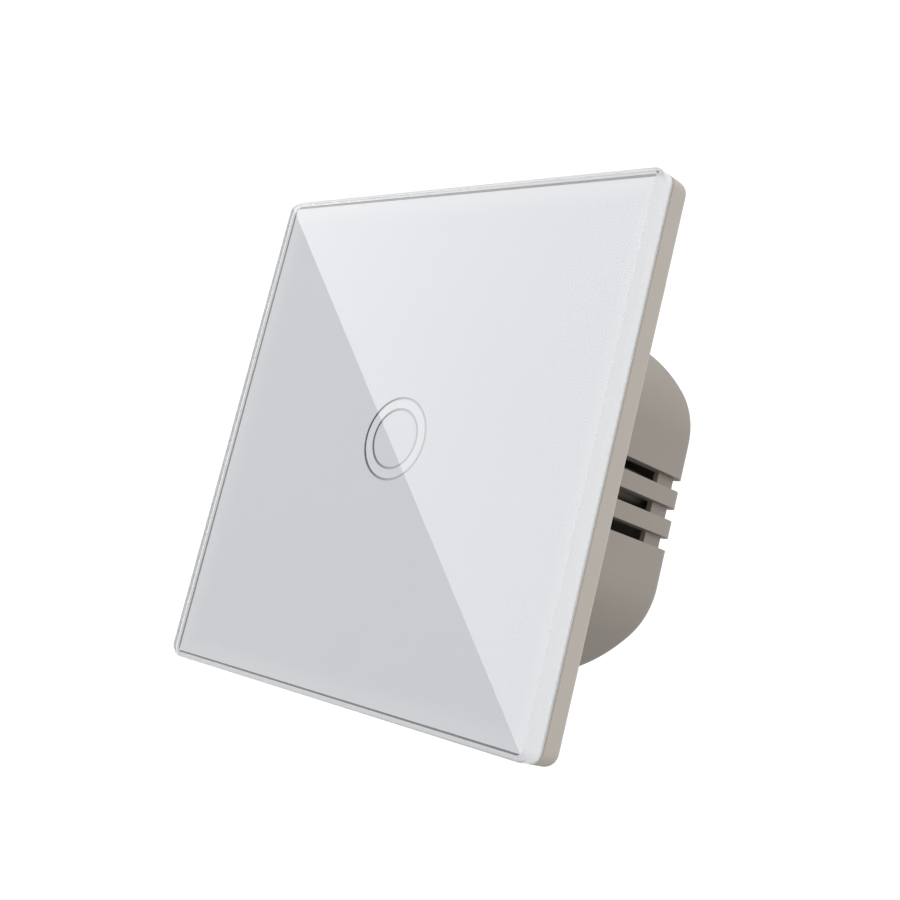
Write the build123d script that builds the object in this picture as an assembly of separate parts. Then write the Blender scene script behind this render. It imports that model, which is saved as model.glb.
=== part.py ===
"""Touch light switch, one gang, for a round wall box.

Millimetres. X is right seen from the front, Y points back into the wall, Z is up.
The origin is the centre of the wall plane: the back of the mounting plate, y = 0.
"""
from build123d import *
import math
import os

# Front panel: glass, its print, the tape and the moulded frame
PANEL_SIZE = 80.0
PANEL_CORNER_RADIUS = 2.0
GLASS_THICKNESS = 3.0
GLASS_CHAMFER = 0.8
GLASS_BACK_ARRIS = 0.3
PRINT_THICKNESS = 0.1
PRINT_INSET = 0.5
RING_OUTER_DIAMETER = 13.0
RING_INNER_DIAMETER = 9.5
RING_LINE_WIDTH = 0.35
RING_INK_CLEARANCE = 0.02
TAPE_THICKNESS = 0.5
TAPE_CLEARANCE = 0.2
TAPE_SETBACK = 1.0
FRAME_RIM_DEPTH = 4.0
FRAME_RIM_FRONT_WALL = 1.2
FRAME_RIM_WALL = 2.6
FRAME_WEB_THICKNESS = 1.2
FRAME_REAR_FILLET = 1.6
FRAME_INNER_RADIUS = 1.5
FOOT_HEIGHT = 0.5
FOOT_LENGTH = 2.4
FOOT_WIDTH = 1.4
FOOT_OFFSET = 25.0
PRY_NOTCH_WIDTH = 10.0
PRY_NOTCH_DEPTH = 1.0
PRY_NOTCH_REACH = 2.1
COVER_TO_FRAME_GAP = 1.0
SCREW_NOTCH_SETBACK = 5.0
SCREW_NOTCH_HALF_HEIGHT = 6.0
SNAP_RIB_OFFSET = 14.0
SNAP_RIB_LENGTH = 8.0
SNAP_RIB_THICKNESS = 1.2
SNAP_RIB_SETBACK = 2.2
SNAP_CLEARANCE = 0.15
SNAP_END_GAP = 0.2

# Mounting plate, galvanised steel
PLATE_SHARE = 0.8875
PLATE_THICKNESS = 1.0
PLATE_CORNER_RADIUS = 4.0
PLATE_OPENING = 32.0
PLATE_OPENING_RADIUS = 3.0
BOX_SCREW_SPACING = 60.0
BOX_SLOT_LENGTH = 7.2
BOX_SLOT_WIDTH = 3.8
EAR_LENGTH = 6.0
EAR_THICKNESS = 0.8
EAR_RELIEF = 1.4

# Touch module: cover, light guide and sensor board
COVER_SHARE = 0.675
COVER_CORNER_RADIUS = 4.0
COVER_FRONT_WALL = 1.0
COVER_SIDE_WALL = 1.4
COVER_TO_PRINT_GAP = 0.3
SCREW_X_SHARE = 0.593
SCREW_Z_SHARE = 0.644
SCREW_SHANK_DIAMETER = 2.5
SCREW_LENGTH = 9.0
SCREW_HEAD_DIAMETER = 4.8
SCREW_HEAD_HEIGHT = 1.6
SCREW_POST_WALL = 0.6
SCREW_HOLE_CLEARANCE = 0.15
SCREW_HEAD_CLEARANCE = 0.2
SCREW_THREAD_CLEARANCE = 0.03
SCREW_FLOOR = 1.4
CROSS_SLOT_WIDTH = 0.7
CROSS_SLOT_DEPTH = 0.8
CROSS_SLOT_SHARE = 0.62
LIGHT_GUIDE_DIAMETER = 12.0
LIGHT_GUIDE_CLEARANCE = 0.1
SENSOR_BOARD_SETBACK = 2.5
SENSOR_BOARD_THICKNESS = 1.0
SENSOR_BOARD_RADIUS = 1.5
STAKE_OFFSET = 12.5
STAKE_DIAMETER = 1.8
STAKE_PROUD = 0.6
STAKE_CLEARANCE = 0.1
ELECTRODE_DIAMETER = 22.0
ELECTRODE_BORE = 13.2
ELECTRODE_THICKNESS = 0.1
ELECTRODE_RECESS = 0.3
ELECTRODE_RECESS_MARGIN = 0.4
LED_OFFSET = 3.2
LED_LENGTH = 1.6
LED_WIDTH = 0.8
LED_HEIGHT = 0.6
LED_POCKET_MARGIN = 0.2
CHIP_LENGTH = 5.0
CHIP_WIDTH = 3.9
CHIP_HEIGHT = 1.1
CHIP_X = -8.5
CHIP_Z = -7.5
CHIP_LEAD_COUNT = 4
CHIP_LEAD_PITCH = 1.27
CHIP_LEAD_WIDTH = 0.4
CHIP_LEAD_LENGTH = 1.0
CHIP_LEAD_THICKNESS = 0.25

# Plug-in header between the two boards
HEADER_POLES = 5
HEADER_PITCH = 2.54
HEADER_Z_SHARE = 0.014
HEADER_WIDTH = 2.5
HEADER_BASE_HEIGHT = 2.5
PIN_WIDTH = 0.64
PIN_ENTRY_LENGTH = 3.0
PIN_CLEARANCE = 0.2
SOCKET_HEIGHT = 8.5
SOCKET_POCKET_DEPTH = 6.0

# Rear housing
HOUSING_HALF_WIDTH = 25.0
HOUSING_HALF_HEIGHT = 28.2
HOUSING_RADIUS_SHARE = 1.046
HOUSING_DEPTH = 33.4
HOUSING_ROUND_WALL = 1.8
HOUSING_FLAT_WALL = 2.4
HOUSING_END_WALL = 2.0
HOUSING_REAR_WALL = 2.2
HOUSING_REAR_FILLET = 2.4
HOUSING_CORNER_SHARE = 0.5
VENT_PITCH = 4.7
VENT_WIDTH = 2.0
VENT_COUNT = 3
VENT_START = 2.0
VENT_END_SETBACK = 5.5
GROOVE_DEPTH = 1.5
GROOVE_WRAP = 5.0
BOSS_DIAMETER = 6.0
BOSS_LENGTH = 11.0
BOSS_FLOOR = 2.0
BARE_PANEL_WIDTH = 26.0
BARE_PANEL_HEIGHT = 15.0
BARE_PANEL_DEPTH = 0.3
BARE_PANEL_Z = 7.0
BARE_PANEL_RADIUS = 1.0

# Power board and its two screws
BOARD_DEPTH_SHARE = 0.515
BOARD_THICKNESS = 1.6
BOARD_EDGE_CLEARANCE = 0.6
BOARD_BOSS_CLEARANCE = 0.5
BOARD_SCREW_INSET = 6.3
BOARD_SCREW_Z = 3.0
BOARD_SCREW_DIAMETER = 2.2
BOARD_SCREW_LENGTH = 6.0
BOARD_SCREW_HEAD_DIAMETER = 4.0
BOARD_SCREW_HEAD_HEIGHT = 1.4
BOARD_POST_DIAMETER = 5.0
LEAD_PROUD = 1.0
LEAD_DIAMETER = 0.6
LEAD_HOLE_CLEARANCE = 0.15

# Relay: a small sealed box with a hinged armature
RELAY_LENGTH = 19.0
RELAY_WIDTH = 15.5
RELAY_FRONT_GAP = 1.7
RELAY_Z_SHARE = 0.417
RELAY_WALL = 0.6
RELAY_STANDOFF = 0.3
RELAY_BASE_HEIGHT = 1.8
RELAY_FIT = 0.1
YOKE_THICKNESS = 1.2
YOKE_WIDTH = 9.0
YOKE_OUTER = 8.0
YOKE_FOOT_END = 3.6
YOKE_FOOT_GAP = 0.2
YOKE_PIN_WIDTH = 1.0
ARMATURE_THICKNESS = 1.0
ARMATURE_REACH = 1.6
ARMATURE_TAIL = 0.4
ARMATURE_GAP = 0.1
ARMATURE_ROOF_GAP = 0.9
POLE_GAP = 0.6
CORE_X = -1.8
CORE_DIAMETER = 3.4
POLE_DIAMETER = 5.6
POLE_THICKNESS = 0.6
BOBBIN_FLANGE = 0.8
BOBBIN_WIDTH = 9.0
BOBBIN_WALL = 0.5
BOBBIN_FIT = 0.1
WINDING_RADIUS = 4.2
WINDING_END_GAP = 0.1
BOBBIN_TAIL = 5.4
COIL_PIN_X = 4.6
COIL_PIN_SPREAD = 3.5
LEAF_THICKNESS = 0.2
LEAF_WIDTH = 4.0
LEAF_END = 7.4
CONTACT_X = 6.4
CONTACT_DIAMETER = 2.0
CONTACT_HEIGHT = 0.5
CONTACT_TRAVEL = 1.0
BLADE_THICKNESS = 0.4
BLADE_WIDTH = 3.0
BLADE_OUTER = 8.5
BLADE_START = 5.2

# Terminals: rising clamps, one per wire
POLE_COUNT = 3
POLE_PITCH = 6.5
CLAMP_FROM_LOW = 8.4
BLOCK_END_WALL = 0.85
BLOCK_WALL_GAP = 0.2
BLOCK_HEIGHT = 14.4
BLOCK_REAR_GAP = 0.2
BLOCK_FLOOR = 1.0
CAGE_WIDTH = 5.0
CAGE_LENGTH = 5.0
CAGE_SIDE_WALL = 0.85
CAGE_FLOOR = 1.0
CAGE_ROOF = 1.6
CAGE_CLEARANCE = 0.2
CAGE_FLOOR_GAP = 0.3
CAGE_TRAVEL = 3.0
TONGUE_THICKNESS = 0.8
TONGUE_WIDTH = 3.0
TONGUE_GAP = 0.1
TONGUE_FROM_LOW = 3.9
TONGUE_LEG = 1.0
TONGUE_SLOT_CLEARANCE = 0.1
CLAMP_SCREW_DIAMETER = 3.0
CLAMP_RUNNING_CLEARANCE = 0.05
CLAMP_HEAD_DIAMETER = 4.6
CLAMP_HEAD_HEIGHT = 1.8
CLAMP_HEAD_GAP = 0.1
CLAMP_SEAT = 0.7
CLAMP_SHANK_CLEARANCE = 0.2
CLAMP_SLOT_WIDTH = 0.8
CLAMP_SLOT_DEPTH = 0.9
WELL_CLEARANCE = 0.3
WIRE_PORT_DIAMETER = 3.8
WIRE_FUNNEL_DIAMETER = 4.6
WIRE_HOLE_DIAMETER = 3.4
WIRE_FUNNEL_DEPTH = 1.5

# Parts on the power board
FILM_LENGTH = 15.0
FILM_WIDTH = 6.0
FILM_HEIGHT = 11.0
FILM_Z_SHARE = -0.69
FILM_EDGE = 0.6
CAN_DIAMETER = 10.0
CAN_HEIGHT = 14.0
CAN_INSET = 14.9
CAN_Z_SHARE = -0.29
CAN_WALL = 0.35
CAN_EDGE = 0.8
SEAL_HEIGHT = 1.6
SEAL_FIT = 0.05
CORE_LENGTH = 13.0
CORE_WIDTH = 6.0
CORE_HEIGHT = 11.5
CORE_LEG = 2.6
CORE_CENTRE_X = -10.0
CORE_Z_SHARE = -0.29
FORMER_WALL = 0.6
FORMER_FLANGE = 0.7
FORMER_OVERHANG = 2.6
COIL_BUILD = 1.8
COIL_GAP = 0.1
FUSE_DIAMETER = 3.8
FUSE_LENGTH = 9.0
FUSE_CAP_LENGTH = 2.0
FUSE_CAP_PROUD = 0.15
FUSE_Z_SHARE = 0.71
VARISTOR_DIAMETER = 9.0
VARISTOR_THICKNESS = 3.6
VARISTOR_INSET = 6.5
VARISTOR_Z_SHARE = -0.284
VARISTOR_STANDOFF = 1.0
VARISTOR_EDGE = 1.1
BRIDGE_LENGTH = 4.7
BRIDGE_WIDTH = 3.8
BRIDGE_HEIGHT = 2.5
BRIDGE_X = -14.0
BRIDGE_Z = 14.0
RESISTOR_DIAMETER = 2.4
RESISTOR_LENGTH = 6.3
RESISTOR_NECK_DIAMETER = 2.0
RESISTOR_BAND = 1.2
RESISTOR_GAP = 0.8
RESISTOR_FIRST_Z = 8.6
RESISTOR_PITCH = 3.2
RESISTOR_COUNT = 3
INDUCTOR_DIAMETER = 7.0
INDUCTOR_HEIGHT = 8.0
INDUCTOR_FLANGE = 1.0
INDUCTOR_WAIST_DIAMETER = 5.4
INDUCTOR_X = -7.0
INDUCTOR_Z = 2.0

# One overrun serves every cut that has to break through a face
OVERRUN = 1.0

# Sizes and places across the wall that follow from the panel and the housing
COVER_SIZE = PANEL_SIZE * COVER_SHARE
PLATE_SIZE = PANEL_SIZE * PLATE_SHARE
SNAP_RIB_CENTRE = COVER_SIZE / 2 + COVER_TO_FRAME_GAP + SNAP_RIB_SETBACK
SCREW_NOTCH_REACH = PANEL_SIZE / 2 - SCREW_NOTCH_SETBACK
HOUSING_RADIUS = HOUSING_HALF_HEIGHT * HOUSING_RADIUS_SHARE
SCREW_X = HOUSING_RADIUS * SCREW_X_SHARE
SCREW_Z = HOUSING_RADIUS * SCREW_Z_SHARE
SENSOR_BOARD_SIZE = 2 * (SCREW_X - SENSOR_BOARD_SETBACK)
BOARD_SCREW_X = HOUSING_HALF_WIDTH - BOARD_SCREW_INSET
CAN_X = HOUSING_HALF_WIDTH - CAN_INSET
VARISTOR_X = HOUSING_HALF_WIDTH - VARISTOR_INSET
RESISTOR_X = (RELAY_LENGTH + RESISTOR_LENGTH) / 2 + RESISTOR_GAP
HEADER_Z = HOUSING_HALF_HEIGHT * HEADER_Z_SHARE
RELAY_Z = HOUSING_HALF_HEIGHT * RELAY_Z_SHARE
FILM_Z = HOUSING_HALF_HEIGHT * FILM_Z_SHARE
CAN_Z = HOUSING_HALF_HEIGHT * CAN_Z_SHARE
CORE_CENTRE_Z = HOUSING_HALF_HEIGHT * CORE_Z_SHARE
FUSE_Z = HOUSING_HALF_HEIGHT * FUSE_Z_SHARE
VARISTOR_Z = HOUSING_HALF_HEIGHT * VARISTOR_Z_SHARE
BLOCK_HALF_WIDTH = POLE_COUNT * POLE_PITCH / 2 + BLOCK_END_WALL
BLOCK_CORNER_RADIUS = HOUSING_RADIUS - HOUSING_ROUND_WALL - BLOCK_WALL_GAP
BLOCK_LOW = -math.sqrt(BLOCK_CORNER_RADIUS**2 - BLOCK_HALF_WIDTH**2)
BLOCK_HIGH = BLOCK_LOW + BLOCK_HEIGHT
CLAMP_Z = BLOCK_LOW + CLAMP_FROM_LOW
TONGUE_LOW = BLOCK_LOW + TONGUE_FROM_LOW

# Depths along Y, all from the wall plane
FRAME_REAR = -FOOT_HEIGHT
FRAME_FRONT = FRAME_REAR - FRAME_RIM_DEPTH
PRINT_FRONT = FRAME_FRONT - PRINT_THICKNESS
GLASS_FRONT = PRINT_FRONT - GLASS_THICKNESS
WEB_FRONT = FRAME_FRONT + TAPE_THICKNESS
WEB_REAR = WEB_FRONT + FRAME_WEB_THICKNESS
PLATE_FRONT = -PLATE_THICKNESS
COVER_FRONT = FRAME_FRONT + COVER_TO_PRINT_GAP
COVER_INNER = COVER_FRONT + COVER_FRONT_WALL
SENSOR_REAR = COVER_INNER + SENSOR_BOARD_THICKNESS
SCREW_SEAT = PLATE_FRONT - SCREW_FLOOR
BOARD_FRONT = HOUSING_DEPTH * BOARD_DEPTH_SHARE
BOARD_REAR = BOARD_FRONT + BOARD_THICKNESS
REAR_WALL_INNER = HOUSING_DEPTH - HOUSING_REAR_WALL
BLOCK_REAR = REAR_WALL_INNER - BLOCK_REAR_GAP
CAGE_BOTTOM = BOARD_REAR + BLOCK_FLOOR + CAGE_FLOOR_GAP
CAVITY_TOP = BLOCK_REAR - CLAMP_SEAT
CAGE_TOP = CAVITY_TOP - CAGE_CLEARANCE - CAGE_TRAVEL
CAGE_INNER_TOP = CAGE_TOP - CAGE_ROOF
TONGUE_REAR = CAGE_INNER_TOP - TONGUE_GAP
TONGUE_FRONT = TONGUE_REAR - TONGUE_THICKNESS
CLAMP_HEAD_START = BLOCK_REAR + CLAMP_HEAD_GAP
WIRE_DEPTH = (CAGE_BOTTOM + CAGE_FLOOR + TONGUE_FRONT) / 2
RELAY_ROOF = RELAY_FRONT_GAP
RELAY_BASE_FRONT = BOARD_FRONT - RELAY_BASE_HEIGHT
ARMATURE_FRONT = RELAY_ROOF + RELAY_WALL + ARMATURE_ROOF_GAP
ARMATURE_REAR = ARMATURE_FRONT + ARMATURE_THICKNESS
YOKE_TOP = ARMATURE_REAR + ARMATURE_GAP
POLE_FACE = ARMATURE_REAR + POLE_GAP
YOKE_FOOT_REAR = RELAY_BASE_FRONT - YOKE_FOOT_GAP
YOKE_FOOT_FRONT = YOKE_FOOT_REAR - YOKE_THICKNESS
BOBBIN_FRONT = POLE_FACE + POLE_THICKNESS + BOBBIN_FIT


def box(x, y, z):
    """A box between the low and high values of each axis."""
    size = (x[1] - x[0], y[1] - y[0], z[1] - z[0])
    return Pos((x[0] + x[1]) / 2, (y[0] + y[1]) / 2, (z[0] + z[1]) / 2) * Box(*size)


def slab(profile, front, back):
    """An outline in X and Z, given depth from y = front to y = back."""
    return extrude(Plane.XZ.offset(-back) * profile, amount=back - front)


def about(centre, width):
    """The low and high values of a width centred on a place."""
    return (centre - width / 2, centre + width / 2)


def disc(diameter, front, back, x=0.0, z=0.0):
    """A cylinder along Y."""
    return slab(Pos(x, z) * Circle(diameter / 2), front, back)


def upright(diameter, low, high, x, y):
    """A cylinder along Z."""
    return Pos(x, y, (low + high) / 2) * Cylinder(diameter / 2, high - low)


def crosswise(diameter, low, high, y, z):
    """A cylinder along X."""
    return Pos((low + high) / 2, y, z) * Rot(0, 90, 0) * Cylinder(diameter / 2, high - low)


def rounded_square(side, radius):
    """A square outline with round corners."""
    return RectangleRounded(side, side, radius)


def joined(pieces):
    """One shape from many, kept apart where they don't touch."""
    total = Part()
    for piece in pieces:
        total += piece
    return total


def four(x, z):
    """The four places at plus and minus x and z."""
    return [(sx * x, sz * z) for sx in (-1, 1) for sz in (-1, 1)]


def rows(count, pitch):
    """Places along a line, centred on zero."""
    return [(n - (count - 1) / 2) * pitch for n in range(count)]


# Front panel


def glass_panel():
    """Tempered glass with a ground chamfer round its face."""
    plate = slab(rounded_square(PANEL_SIZE, PANEL_CORNER_RADIUS), GLASS_FRONT, PRINT_FRONT)
    plate = chamfer(plate.faces().sort_by(Axis.Y)[0].edges(), GLASS_CHAMFER)
    return chamfer(plate.faces().sort_by(Axis.Y)[-1].edges(), GLASS_BACK_ARRIS)


def ring_line(diameter, margin=0.0):
    """The outline of one printed circle, with a margin on both edges."""
    outer = Circle(diameter / 2 + margin)
    return outer - Circle(diameter / 2 - RING_LINE_WIDTH - margin)


def glass_print():
    """White enamel on the back of the glass, open along the two circles."""
    side = PANEL_SIZE - 2 * PRINT_INSET
    outline = rounded_square(side, PANEL_CORNER_RADIUS - PRINT_INSET)
    outline -= ring_line(RING_OUTER_DIAMETER, RING_INK_CLEARANCE)
    outline -= ring_line(RING_INNER_DIAMETER, RING_INK_CLEARANCE)
    return slab(outline, PRINT_FRONT, FRAME_FRONT)


def ring_mark():
    """Two thin circles of smoked ink that fill the gaps in the enamel."""
    outer = slab(ring_line(RING_OUTER_DIAMETER), PRINT_FRONT, FRAME_FRONT)
    inner = slab(ring_line(RING_INNER_DIAMETER), PRINT_FRONT, FRAME_FRONT)
    return outer + inner


def panel_opening(margin=0.0):
    """The frame's opening round the touch cover, with a bay for each box screw."""
    half = COVER_SIZE / 2 + COVER_TO_FRAME_GAP + margin
    main = rounded_square(2 * half, COVER_CORNER_RADIUS)
    bays = Rectangle(2 * (SCREW_NOTCH_REACH + margin), 2 * (SCREW_NOTCH_HALF_HEIGHT + margin))
    return main + bays


def adhesive_frame():
    """Foam tape that holds the glass to the frame."""
    side = PANEL_SIZE - 2 * (FRAME_RIM_FRONT_WALL + TAPE_CLEARANCE)
    outline = rounded_square(side, PANEL_CORNER_RADIUS) - panel_opening(TAPE_SETBACK)
    return slab(outline, FRAME_FRONT, WEB_FRONT)


def frame_feet():
    """Small feet on the rear edge of the rim, two on each side."""
    reach = PANEL_SIZE / 2 - FRAME_RIM_WALL
    deep = (FRAME_REAR - FOOT_HEIGHT, 0)
    feet = []
    for along in (-FOOT_OFFSET, FOOT_OFFSET):
        for side in (-1, 1):
            across = sorted((side * reach, side * (reach + FOOT_WIDTH)))
            feet.append(box(across, deep, about(along, FOOT_LENGTH)))
            feet.append(box(about(along, FOOT_LENGTH), deep, across))
    return joined(feet)


def panel_frame():
    """Moulded frame: a rim, a web that carries the tape, and four snap ribs."""
    body = slab(rounded_square(PANEL_SIZE, PANEL_CORNER_RADIUS), FRAME_FRONT, FRAME_REAR)
    body = fillet(body.faces().sort_by(Axis.Y)[-1].edges(), FRAME_REAR_FILLET)
    tray = PANEL_SIZE - 2 * FRAME_RIM_FRONT_WALL
    body -= slab(rounded_square(tray, PANEL_CORNER_RADIUS), FRAME_FRONT - OVERRUN, WEB_FRONT)
    inside = PANEL_SIZE - 2 * FRAME_RIM_WALL
    body -= slab(rounded_square(inside, FRAME_INNER_RADIUS), WEB_REAR, FRAME_REAR + OVERRUN)
    body -= slab(panel_opening(), WEB_FRONT - OVERRUN, WEB_REAR + OVERRUN)
    for x, z in four(SNAP_RIB_OFFSET, SNAP_RIB_CENTRE):
        deep = (WEB_REAR - FRAME_WEB_THICKNESS / 2, PLATE_FRONT - SNAP_END_GAP)
        body += box(about(x, SNAP_RIB_LENGTH), deep, about(z, SNAP_RIB_THICKNESS))
    body += frame_feet()
    low = -PANEL_SIZE / 2
    notch = ((FRAME_REAR - PRY_NOTCH_DEPTH, FRAME_REAR + OVERRUN), (low - OVERRUN, low + PRY_NOTCH_REACH))
    return body - box(about(0, PRY_NOTCH_WIDTH), *notch)


# Mounting plate


def mounting_plate():
    """Steel plate with two slots for the wall box screws and four bent ears."""
    outline = rounded_square(PLATE_SIZE, PLATE_CORNER_RADIUS)
    outline -= rounded_square(PLATE_OPENING, PLATE_OPENING_RADIUS)
    for x, z in four(SCREW_X, SCREW_Z):
        outline -= Pos(x, z) * Circle(SCREW_SHANK_DIAMETER / 2 + SCREW_HOLE_CLEARANCE)
    for side in (-1, 1):
        slot = SlotOverall(BOX_SLOT_LENGTH, BOX_SLOT_WIDTH)
        outline -= Pos(side * BOX_SCREW_SPACING / 2, 0) * slot
    ear_low = SNAP_RIB_CENTRE + SNAP_RIB_THICKNESS / 2 + SNAP_CLEARANCE
    ear_high = ear_low + EAR_THICKNESS
    relief = Rectangle(EAR_LENGTH, EAR_RELIEF)
    for x, side in four(SNAP_RIB_OFFSET, 1):
        outline -= Pos(x, side * (ear_high + EAR_RELIEF / 2)) * relief
    plate = slab(outline, PLATE_FRONT, 0)
    deep = (WEB_REAR + SNAP_END_GAP, PLATE_FRONT + PLATE_THICKNESS / 2)
    for x, side in four(SNAP_RIB_OFFSET, 1):
        tall = sorted((side * ear_low, side * ear_high))
        plate += box(about(x, EAR_LENGTH), deep, tall)
    return plate


# Touch module


def stake_pins(diameter, front, back):
    """Four pins or holes at the sensor board's corners."""
    return joined([disc(diameter, front, back, x, z) for x, z in four(STAKE_OFFSET, STAKE_OFFSET)])


def front_cover():
    """Shallow tray over the sensor board, screwed through the plate."""
    body = slab(rounded_square(COVER_SIZE, COVER_CORNER_RADIUS), COVER_FRONT, PLATE_FRONT)
    inner = COVER_SIZE - 2 * COVER_SIDE_WALL
    radius = COVER_CORNER_RADIUS - COVER_SIDE_WALL
    body -= slab(rounded_square(inner, radius), COVER_INNER, PLATE_FRONT + OVERRUN)
    bore = SCREW_HEAD_DIAMETER + 2 * SCREW_HEAD_CLEARANCE
    post = bore + 2 * SCREW_POST_WALL
    hole = SCREW_SHANK_DIAMETER + 2 * SCREW_HOLE_CLEARANCE
    for x, z in four(SCREW_X, SCREW_Z):
        body += disc(post, COVER_INNER - COVER_FRONT_WALL / 2, PLATE_FRONT, x, z)
        body -= disc(bore, COVER_FRONT - OVERRUN, SCREW_SEAT, x, z)
        body -= disc(hole, SCREW_SEAT - OVERRUN, PLATE_FRONT + OVERRUN, x, z)
    recess = ELECTRODE_DIAMETER + 2 * ELECTRODE_RECESS_MARGIN
    body -= disc(recess, COVER_INNER - ELECTRODE_RECESS, COVER_INNER)
    window = LIGHT_GUIDE_DIAMETER + 2 * LIGHT_GUIDE_CLEARANCE
    body -= disc(window, COVER_FRONT - OVERRUN, COVER_INNER + OVERRUN)
    root = COVER_INNER - COVER_FRONT_WALL / 2
    return body + stake_pins(STAKE_DIAMETER, root, SENSOR_REAR + STAKE_PROUD)


def light_guide():
    """Clear disc behind the ring mark, with a pocket for each lamp."""
    body = disc(LIGHT_GUIDE_DIAMETER, COVER_FRONT, COVER_INNER)
    depth = LED_HEIGHT + LED_POCKET_MARGIN
    for x in (-LED_OFFSET, LED_OFFSET):
        wide = about(x, LED_LENGTH + 2 * LED_POCKET_MARGIN)
        tall = about(0, LED_WIDTH + 2 * LED_POCKET_MARGIN)
        body -= box(wide, (COVER_INNER - depth, COVER_INNER + OVERRUN), tall)
    return body


def indicator_leds():
    """Two small lamps on the sensor board."""
    lamps = []
    for x in (-LED_OFFSET, LED_OFFSET):
        deep = (COVER_INNER - LED_HEIGHT, COVER_INNER)
        lamps.append(box(about(x, LED_LENGTH), deep, about(0, LED_WIDTH)))
    return joined(lamps)


def touch_electrode():
    """Copper ring that senses the finger through the glass."""
    outline = Circle(ELECTRODE_DIAMETER / 2) - Circle(ELECTRODE_BORE / 2)
    return slab(outline, COVER_INNER - ELECTRODE_THICKNESS, COVER_INNER)


def sensor_board():
    """Small board held by the cover's stake pins."""
    outline = rounded_square(SENSOR_BOARD_SIZE, SENSOR_BOARD_RADIUS)
    board = slab(outline, COVER_INNER, SENSOR_REAR)
    hole = STAKE_DIAMETER + 2 * STAKE_CLEARANCE
    board -= stake_pins(hole, COVER_INNER - OVERRUN, SENSOR_REAR + OVERRUN)
    return board - header_holes(COVER_INNER - OVERRUN, SENSOR_REAR + OVERRUN)


def touch_chip():
    """Touch controller in a small-outline package on the board's rear."""
    deep = (SENSOR_REAR, SENSOR_REAR + CHIP_HEIGHT)
    body = box(about(CHIP_X, CHIP_LENGTH), deep, about(CHIP_Z, CHIP_WIDTH))
    tall = about(CHIP_Z, CHIP_WIDTH + 2 * CHIP_LEAD_LENGTH)
    flat = (SENSOR_REAR, SENSOR_REAR + CHIP_LEAD_THICKNESS)
    for step in rows(CHIP_LEAD_COUNT, CHIP_LEAD_PITCH):
        body += box(about(CHIP_X + step, CHIP_LEAD_WIDTH), flat, tall)
    return body


def header_holes(front, back):
    """Round holes or pockets for the header pins."""
    diameter = PIN_WIDTH * math.sqrt(2) + PIN_CLEARANCE
    holes = [disc(diameter, front, back, x, HEADER_Z) for x in rows(HEADER_POLES, HEADER_PITCH)]
    return joined(holes)


def header_length():
    """Length of the header's plastic."""
    return HEADER_POLES * HEADER_PITCH


def header_base():
    """Plastic strip that holds the header pins on the sensor board."""
    deep = (SENSOR_REAR, SENSOR_REAR + HEADER_BASE_HEIGHT)
    body = box(about(0, header_length()), deep, about(HEADER_Z, HEADER_WIDTH))
    return body - header_holes(SENSOR_REAR - OVERRUN, SENSOR_REAR + HEADER_BASE_HEIGHT + OVERRUN)


def header_pins():
    """Square pins that plug into the power board's socket."""
    tip = BOARD_FRONT - SOCKET_HEIGHT + PIN_ENTRY_LENGTH
    pins = []
    for x in rows(HEADER_POLES, HEADER_PITCH):
        pins.append(box(about(x, PIN_WIDTH), (COVER_INNER, tip), about(HEADER_Z, PIN_WIDTH)))
    return joined(pins)


def socket_header():
    """Socket strip on the power board."""
    front = BOARD_FRONT - SOCKET_HEIGHT
    body = box(about(0, header_length()), (front, BOARD_FRONT), about(HEADER_Z, HEADER_WIDTH))
    return body - header_holes(front - OVERRUN, front + SOCKET_POCKET_DEPTH)


def cross_head(shank, head, head_height, seat, length, x, z):
    """A pan-head screw along Y, head towards the front, with a cross slot."""
    body = disc(shank, seat, seat + length, x, z) + disc(head, seat - head_height, seat, x, z)
    deep = (seat - head_height - OVERRUN, seat - head_height + CROSS_SLOT_DEPTH)
    reach = head * CROSS_SLOT_SHARE
    body -= box(about(x, reach), deep, about(z, CROSS_SLOT_WIDTH))
    return body - box(about(x, CROSS_SLOT_WIDTH), deep, about(z, reach))


def housing_screws():
    """Four screws through cover and plate into the housing."""
    sizes = (SCREW_SHANK_DIAMETER, SCREW_HEAD_DIAMETER, SCREW_HEAD_HEIGHT, SCREW_SEAT, SCREW_LENGTH)
    return joined([cross_head(*sizes, x, z) for x, z in four(SCREW_X, SCREW_Z)])


# Rear housing


def housing_outline(radius, half_width, half_height):
    """A circle cut by flats at the sides, the top and the bottom."""
    outline = Circle(radius) & Rectangle(2 * half_width, 2 * half_height)
    return fillet(outline.vertices(), half_width * HOUSING_CORNER_SHARE)


def vent_cuts(side):
    """Vent slots on one flat, and the groove that carries each round the rear edge."""
    outer = side * (HOUSING_HALF_WIDTH + OVERRUN)
    floor = side * (HOUSING_HALF_WIDTH - GROOVE_DEPTH)
    inner = side * (HOUSING_HALF_WIDTH - HOUSING_FLAT_WALL - OVERRUN)
    wrap = side * (HOUSING_HALF_WIDTH - GROOVE_WRAP)
    rear = HOUSING_DEPTH + OVERRUN
    cuts = []
    for z in rows(VENT_COUNT, VENT_PITCH):
        tall = about(z, VENT_WIDTH)
        cuts.append(box(sorted((floor, outer)), (VENT_START, rear), tall))
        cuts.append(box(sorted((inner, outer)), (VENT_START, HOUSING_DEPTH - VENT_END_SETBACK), tall))
        cuts.append(box(sorted((wrap, outer)), (HOUSING_DEPTH - GROOVE_DEPTH, rear), tall))
    return joined(cuts)


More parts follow.
